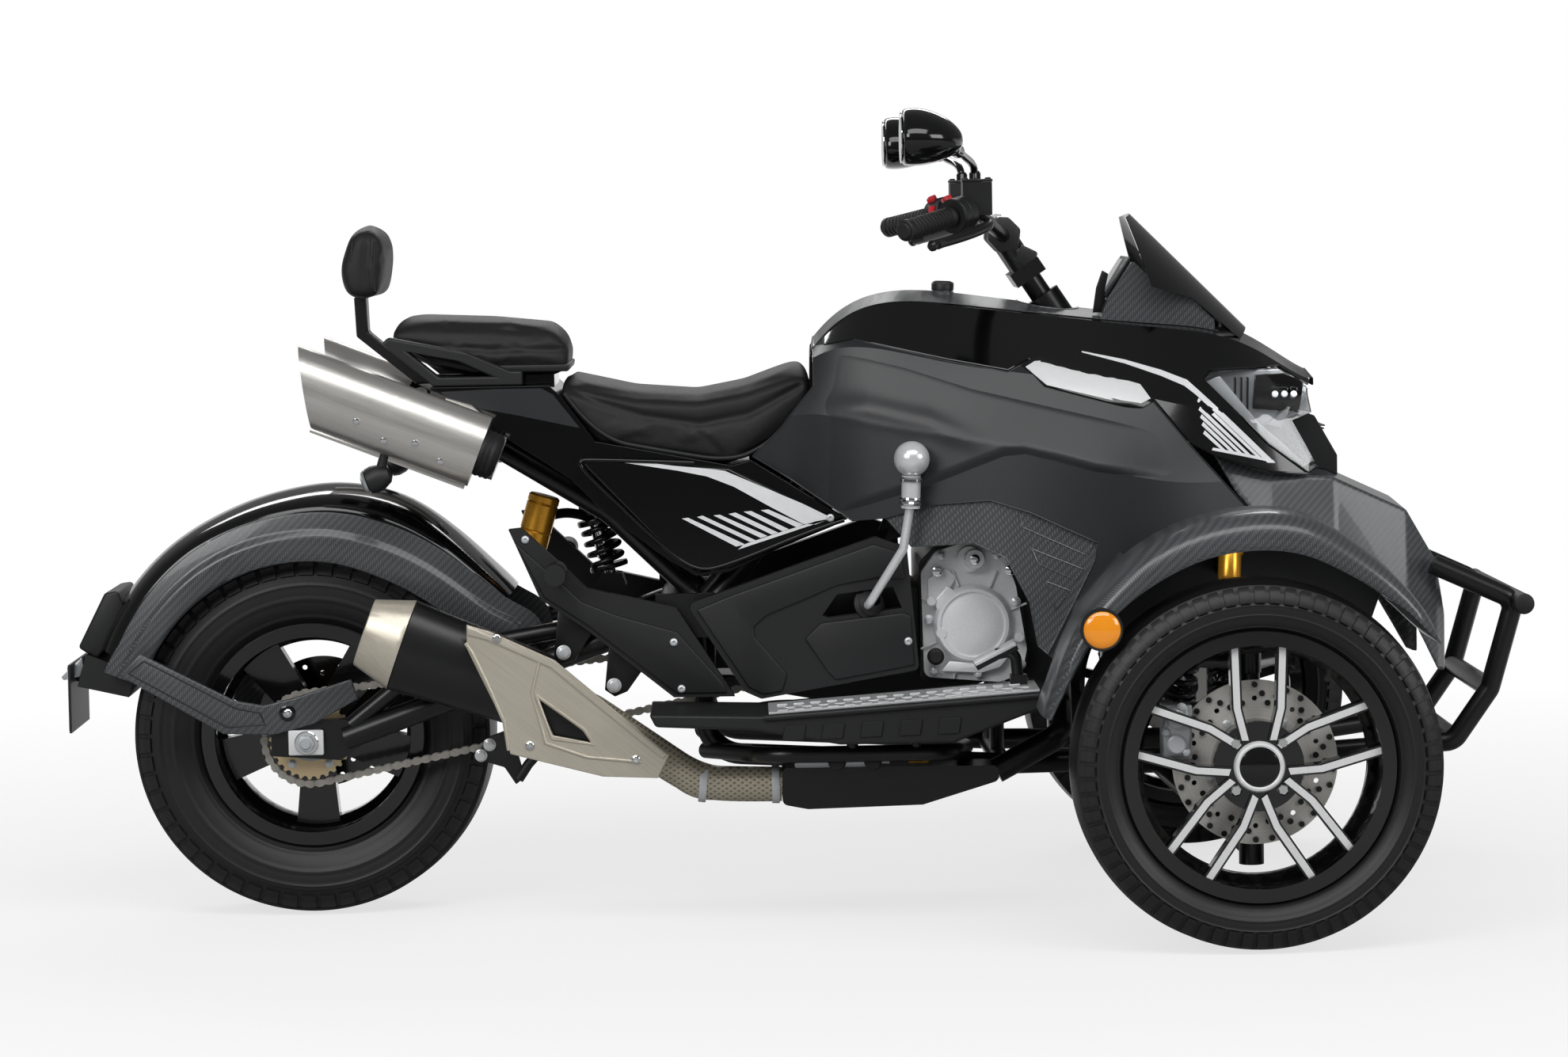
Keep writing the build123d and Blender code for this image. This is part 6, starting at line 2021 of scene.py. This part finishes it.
@dataclass
class Exhaust:
    """Seams, rivets and collars of the tail pipes, the shield's bolts and pressings, and the braided hose."""

    pipe_start: Place = (-486.0, -226.0, 752.0)
    pipe_end: Place = (-800.0, -226.0, 875.0)

    def build(self) -> None:
        """Makes the exhaust's details."""
        way = (Vector(self.pipe_end) - Vector(self.pipe_start)).normalized()
        start = Vector(self.pipe_start)
        down = Vector((-way.z, 0, way.x))
        dimples = []
        for reach, low in ((52, 34), (98, 20), (146, 34), (196, 20)):
            side = -44 * math.sqrt(1 - (low / 58) ** 2) - 0.2
            spot = start + way * reach + down * low + Vector((0, side, 0))
            dimples.append(placed(button_bolt(6, 2.2), along(tuple(spot), (0, -1, -0.2))))
        show_both(dimples, "pipe_rivets", CHROME)
        first, last = start + way * 4 + down * 57.5, start + way * 262 + down * 57.5
        corners = (first, last, last + down * 7, first + down * 7)
        seam = slab([(p.x, p.z) for p in corners], -230, -222, 1)
        show_both(seam, "pipe_seams", BRUSHED_STEEL)
        collar = spun([(1, 0), (1.22, 0), (1.26, 5), (1.2, 9), (1.26, 13), (1.2, 17), (1.24, 22), (1.1, 30),
                       (1, 32), (1, 0)], 44)
        squash = along(self.pipe_start, tuple(-way)) @ Matrix.Diagonal((36, 1, 30, 1))
        show_both(placed(collar, squash), "pipe_collars", SOFT_RUBBER)
        lamps = turned([(0, -18), (14, -18), (20, -16), (22, -6), (20, 6), (13, 19), (0, 26)], 32,
                       along((-648, -226, 713), (1, 0, 0.35)))
        stalk = pipe([(-646, -226, 716), (-640, -226, 736), (-634, -226, 756)], 8, True)
        show_both([lamps, stalk], "rear_indicators", GRAINED_PLASTIC)
        lens = turned([(0, -27), (10, -26), (17, -22.5), (19.6, -18), (0, -18)], 28,
                      along((-648, -226, 713), (1, 0, 0.35)))
        show_both(lens, "rear_indicator_lenses", METALLISED)
        bolts = [placed(button_bolt(7.5, 4), outwards(spot))
                 for spot in ((-461, -325, 466), (-413, -322.2, 297), (-248, -322.2, 272))]
        show(bolts, "shield_bolts", CHROME)
        fold = slab([(-506, 486), (-470, 474), (-373, 428), (-200, 279), (-207, 272), (-378, 419),
                     (-474, 463), (-506, 472)], -325, -322.2, 1.2)
        show(fold, "shield_fold", SATIN_STEEL)
        loops = (((-510, 459), (-500, 444), (-476, 392), (-452, 334), (-446, 290)),
                 ((-402, 376), (-328, 321), (-313, 297), (-378, 307), (-402, 376)),
                 ((-393, 436), (-408, 380), (-388, 300), (-324, 277), (-240, 268)))
        pressed = [pipe([(x, -321.4, z) for x, z in loop], 3.0) for loop in loops]
        show(pressed, "shield_pressings", SATIN_STEEL)
        backing = slab([(-430, 420), (-300, 330), (-270, 284), (-420, 290)], -306, -300, 2)
        show(backing, "shield_backing", POWDER_BLACK)
        braid = pipe([(-22, -262, 222), (-90, -262, 222), (-150, -262, 228), (-214, -262, 268),
                      (-300, -262, 330), (-392, -262, 371)], 27.6, True, 8)
        show(braid, "braided_hose", WIRE_BRAID)
        band = [(27.4, 0), (30, 0), (30.6, 3), (30, 12), (27.4, 12), (27.4, 0)]
        spots = (((-24, -262, 222), (-1, 0, 0)), ((-138, -262, 225), (-1, 0, 0.1)))
        clips = [turned(band, 36, along(spot, run)) for spot, run in spots]
        show(clips, "hose_clips", WHITE_ZINC)


# Tail and nose

@dataclass
class Ends:
    """The tail lamp's lens, the plate and its lamp, the intake mesh, bumper caps and side reflectors."""

    def build(self) -> None:
        """Makes the small pieces at both ends of the machine."""
        red = slab([(-1142, 449), (-1106, 522), (-1103, 520), (-1139, 447)], -66, 66, 1)
        show(red, "tail_lens", RED_LENS)
        pane = slab([(-1145, 422), (-1180, 389), (-1176, 384), (-1142, 392)], -56, 56, 2)
        show(pane, "plate_lamp", METALLISED)
        blank = slab([(-1163.2, 306), (-1162.2, 306), (-1162.2, 410), (-1163.2, 410)], -97, 97, 0.4, 1)
        show(blank, "blank_plate", BLANK_PLATE, slot="paint_black")
        bars = []
        for n in range(9):
            bars.append(prism([(851, 764 - 5 * n), (851, 762 - 5 * n), (866 - 1.5 * n, 761.5 - 5 * n),
                               (866 - 1.5 * n, 763.5 - 5 * n)], -69, 69))
        show(bars, "intake_mesh", GRAINED_PLASTIC)
        caps = turned([(0, -247), (12, -247), (15.4, -245), (16.6, -241), (16.6, -238), (0, -238)], 28,
                      at(1156, 0, 484))
        show_both(caps, "bar_caps", SOFT_RUBBER)
        # The amber lenses carry their finish's faint painted glow
        lens = turned([(0, -654.5), (18, -653.5), (26, -651), (28.6, -648), (28.6, -636), (0, -636)], 48,
                      at(456, 0, 494))
        show_both(lens, "reflector_lenses", AMBER_PRISM, replaces=["side_reflectors"])
        rims = turned([(28, -650), (30.4, -650.5), (32, -648), (32, -633), (28, -633), (28, -650)], 48,
                      at(456, 0, 494))
        show_both(rims, "reflector_rims", GRAINED_PLASTIC)


# CAD nodes

@dataclass
class PackedNodes:
    """The CAD solids that show: each with its finish and the rounding of its edges in millimetres."""

    dress: dict[str, tuple[Finish, float]] = field(default_factory=lambda: {
        # The engine block's black powder coat is painted shade for the dark seen round the bright cover
        "frame": (POWDER_BLACK, 0.0), "swing_arm": (POWDER_BLACK, 0.0), "engine": (POWDER_BLACK, 4.0),
        "engine_cover": (CAST_ALLOY, 2.5), "side_fairings": (SATIN_GREY, 0.0),
        "upper_cowl": (GLOSS_BLACK, 0.0), "console_cover": (WEAVE_FILM, 0.0),
        "intake_grille": (GRAINED_PLASTIC, 4.0), "dash_binnacle": (WEAVE_FILM, 3.0),
        "windscreen": (SMOKED_SHEET, 0.0), "arch_panels": (WEAVE_FILM, 0.0),
        "footboards": (GRAINED_PLASTIC, 5.0), "foot_plates": (BRIGHT_SHEET, 0.8),
        "side_covers": (GLOSS_BLACK, 6.0), "lower_covers": (GRAINED_PLASTIC, 5.0),
        "pivot_covers": (GRAINED_PLASTIC, 6.0), "tail_cover": (GLOSS_BLACK, 5.0),
        "backrest_bracket": (POWDER_BLACK, 3.0), "grab_rails": (GRAINED_PLASTIC, 6.0),
        "tail_pipes": (BRUSHED_STEEL, 0.0), "silencer": (POWDER_BLACK, 0.0),
        "silencer_trim": (SATIN_STEEL, 2.0), "exhaust_pipe": (POWDER_BLACK, 0.0),
        "tail_lamp": (GRAINED_PLASTIC, 1.5), "suspension_arms": (POWDER_BLACK, 0.0),
        "bumper": (POWDER_BLACK, 0.0), "gear_lever": (BRIGHT_SHEET, 0.0), "brake_pedal": (POWDER_BLACK, 2.0),
        "handlebar": (POWDER_BLACK, 2.5), "bar_controls": (GRAINED_PLASTIC, 4.0),
        "knuckle_right": (POWDER_BLACK, 2.0), "knuckle_left": (POWDER_BLACK, 2.0),
        "pitman": (POWDER_BLACK, 1.0), "tie_rod_right": (POWDER_BLACK, 0.0),
        "tie_rod_left": (POWDER_BLACK, 0.0), "front_rim_right": (WHEEL_BLACK, 2.0),
        "front_rim_left": (WHEEL_BLACK, 2.0), "front_disc_right": (GROUND_FRONT, 0.0),
        "front_disc_left": (GROUND_FRONT, 0.0), "rear_rim": (WHEEL_BLACK, 3.0),
        "rear_sprocket": (YELLOW_ZINC, 0.0)})

    # Lofted skins keep the CAD's own smooth shading and get a bead along their borders, of this radius
    beaded: dict[str, float] = field(default_factory=lambda: {
        "side_fairings": 1.3, "upper_cowl": 1.4, "console_cover": 1.4, "arch_panels": 1.3})

    def build(self, nodes: Nodes) -> None:
        """Dresses every node in the table.

        Args:
            nodes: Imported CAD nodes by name.
        """
        for name, radius in self.beaded.items():
            show(beads(nodes[name], radius), f"{name}_edge", self.dress[name][0])
        for name, (finish, edge) in self.dress.items():
            self.finish(nodes[name], finish, edge)
            LOG.info("%s: CAD node, %s", name, finish.name)
        for side in ("right", "left"):
            self.two_tone(nodes[f"knuckle_{side}"], CALIPER_GREY, lambda m: m.x < 600 and m.z > 285)
        self.two_tone(nodes["swing_arm"], WHITE_ZINC, lambda m: abs(m.y) > 181.5 and abs(m.x + 773) < 26
                      and abs(m.z - 292) < 24)
        self.two_tone(nodes["exhaust_pipe"], WIRE_BRAID, lambda m: m.x < -24)

    def finish(self, node: Piece, finish: Finish, edge: float) -> None:
        """Gives a node its material and, where it asks, rounded edges as live modifiers.

        Args:
            node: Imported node.
            finish: What it is finished in.
            edge: Rounding of its edges, 0 for none.
        """
        node.data.materials.clear()
        node.data.materials.append(finish.material())
        if not edge:
            return
        weld = node.modifiers.new("Weld", "WELD")
        weld.merge_threshold = WELD_MM * MM
        flat = node.modifiers.new("Flat faces", "DECIMATE")
        flat.decimate_type = "DISSOLVE"
        flat.angle_limit = math.radians(1.5)
        rim = node.modifiers.new("Rounded edges", "BEVEL")
        rim.width = edge * MM
        rim.segments = 3
        rim.limit_method = "ANGLE"
        rim.angle_limit = math.radians(28)
        rim.harden_normals = True

    def two_tone(self, node: Piece, finish: Finish, wanted: Callable[[Vector], bool]) -> None:
        """Gives the faces of a node that are wanted by their middle a second finish.

        Args:
            node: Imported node.
            finish: Second finish.
            wanted: Test of a face's middle in millimetres.
        """
        node.data.materials.append(finish.material())
        index = len(node.data.materials) - 1
        for face in node.data.polygons:
            if wanted(face.center / MM):
                face.material_index = index


# Studio

@dataclass
class Studio:
    """A pale floor, soft lamps and the camera where the photograph was taken."""

    floor_radius: float = 60.0
    camera_place: Place = (-0.084, -7.3, 1.142)
    lens: float = 103.3
    pitch: float = 85.8
    yaw: float = -0.6
    roll: float = -0.95
    # Name, place in metres, aim, width, height, watts
    lamps: tuple = (
        ("top_box", (0.2, -3.2, 3.9), (0.0, 0.0, 0.5), 4.8, 1.6, 95.0),
        ("key_box", (-3.4, -5.2, 3.2), (0.0, 0.0, 0.5), 3.0, 2.0, 120.0),
        ("nose_box", (4.8, -3.4, 2.4), (0.6, 0.0, 0.5), 2.4, 2.0, 80.0),
        ("rim_box", (-0.6, 3.6, 3.0), (0.0, 0.0, 0.6), 4.4, 0.7, 60.0),
    )

    def build(self) -> None:
        """Sets up floor, world, lamps, camera and view."""
        self._floor()
        self._world()
        for name, place, aim, width, height, watts in self.lamps:
            clear()
            bpy.ops.object.light_add(type="AREA", location=place)
            lamp = bpy.context.object
            lamp.name = name
            lamp.data.shape = "RECTANGLE"
            lamp.data.size, lamp.data.size_y, lamp.data.energy = width, height, watts
            lamp.rotation_euler = (Vector(aim) - Vector(place)).to_track_quat("-Z", "Y").to_euler()
        self._camera()
        bpy.context.scene.view_settings.view_transform = "Standard"

    def _floor(self) -> None:
        """A wide floor, white to the eye, that keeps a soft shadow."""
        clear()
        bpy.ops.mesh.primitive_circle_add(vertices=96, radius=self.floor_radius, fill_type="NGON",
                                          location=(0, 0, -0.0005))
        floor = bpy.context.object
        floor.name = "studio_floor"
        made = bpy.data.materials.new("studio floor paint")
        made.use_nodes = True
        tree = made.node_tree
        paint = tree.nodes["Principled BSDF"]
        paint.inputs["Roughness"].default_value = 0.9
        camera_ray = add(tree, "ShaderNodeLightPath").outputs["Is Camera Ray"]
        here = add(tree, "ShaderNodeTexCoord").outputs["Object"]
        tone = add(tree, "ShaderNodeMix", {6: linear("#b4b4b4"), 7: linear("#f4f4f4")}, {0: camera_ray},
                   data_type="RGBA")
        tree.links.new(tone.outputs[2], paint.inputs["Base Color"])
        glow = add(tree, "ShaderNodeEmission", {"Color": (1, 1, 1, 1), "Strength": 1.0})
        look = add(tree, "ShaderNodeSeparateXYZ", {}, {0: here})
        seen = self._seen(tree, calc(tree, "GREATER_THAN", look.outputs["Y"], 0.6), 1.0)
        reach = add(tree, "ShaderNodeVectorMath", {}, {0: here}, operation="LENGTH")
        fade = {"From Min": 1.2, "From Max": 3.4, "To Min": 0.72, "To Max": 1.0}
        share = add(tree, "ShaderNodeMapRange", fade, {"Value": reach.outputs["Value"]})
        part = calc(tree, "MULTIPLY", seen, share.outputs[0])
        mix = add(tree, "ShaderNodeMixShader", {}, {0: part, 1: paint.outputs[0], 2: glow.outputs[0]})
        tree.links.new(mix.outputs[0], tree.nodes["Material Output"].inputs["Surface"])
        floor.data.materials.append(made)

    def _seen(self, tree: Tree, beyond: Socket, mirrored: float) -> Socket:
        """How white a ray finds the room.

        Args:
            tree: Node tree of the floor or the world.
            beyond: 1 where a ray meets what lies behind the object.
            mirrored: Share that mirrors and lenses see there; the eye sees all of it.

        Returns:
            Socket of the share, from 0 to 1.
        """
        path = add(tree, "ShaderNodeLightPath").outputs
        bright = calc(tree, "ADD", path["Is Glossy Ray"], path["Is Transmission Ray"])
        behind = calc(tree, "MULTIPLY", calc(tree, "MULTIPLY", bright, beyond), mirrored)
        return calc(tree, "ADD", behind, path["Is Camera Ray"], True)

    def _world(self) -> None:
        """A dim even room that the eye, and metal and glass that look past the object, see as white."""
        world = bpy.data.worlds.new("studio")
        bpy.context.scene.world = world
        world.use_nodes = True
        tree = world.node_tree
        look = add(tree, "ShaderNodeSeparateXYZ", {},
                   {0: add(tree, "ShaderNodeTexCoord").outputs["Generated"]})
        ahead = calc(tree, "GREATER_THAN", look.outputs["Y"], 0.1)
        low = calc(tree, "LESS_THAN", look.outputs["Z"], 0.12)
        seen = self._seen(tree, calc(tree, "MULTIPLY", ahead, low), 0.5)
        level = add(tree, "ShaderNodeMapRange", {"To Min": 0.16, "To Max": 1.0}, {"Value": seen})
        back = tree.nodes["Background"]
        back.inputs["Color"].default_value = (1, 1, 1, 1)
        tree.links.new(level.outputs[0], back.inputs["Strength"])

    def _camera(self) -> None:
        """The camera at the photograph's place, lens and tilt."""
        clear()
        bpy.ops.object.camera_add(location=self.camera_place)
        camera = bpy.context.object
        camera.data.lens = self.lens
        camera.data.sensor_width = 36.0
        camera.data.clip_end = 200.0
        turn = Matrix.Rotation(math.radians(self.yaw), 4, "Z")
        turn = turn @ Matrix.Rotation(math.radians(self.pitch), 4, "X")
        turn = turn @ Matrix.Rotation(math.radians(self.roll), 4, "Z")
        camera.matrix_world = Matrix.Translation(self.camera_place) @ turn
        bpy.context.scene.camera = camera


def main() -> None:
    """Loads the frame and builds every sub-assembly in order."""
    logging.basicConfig(level=logging.INFO, format="%(name)s: %(message)s")
    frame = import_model()
    clear()
    Studio().build()
    nodes = frame["nodes"]
    FrontWheel().build()
    RearWheel().build()
    Dampers().build()
    Saddles().build(nodes)
    Bodywork().build(nodes)
    FrontFenders().build()
    RearFender().build()
    Headlamps().build(nodes)
    Cockpit().build()
    EngineBay().build()
    Footrests().build()
    Exhaust().build()
    Ends().build()
    PackedNodes().build(nodes)


if __name__ == "__main__":
    main()
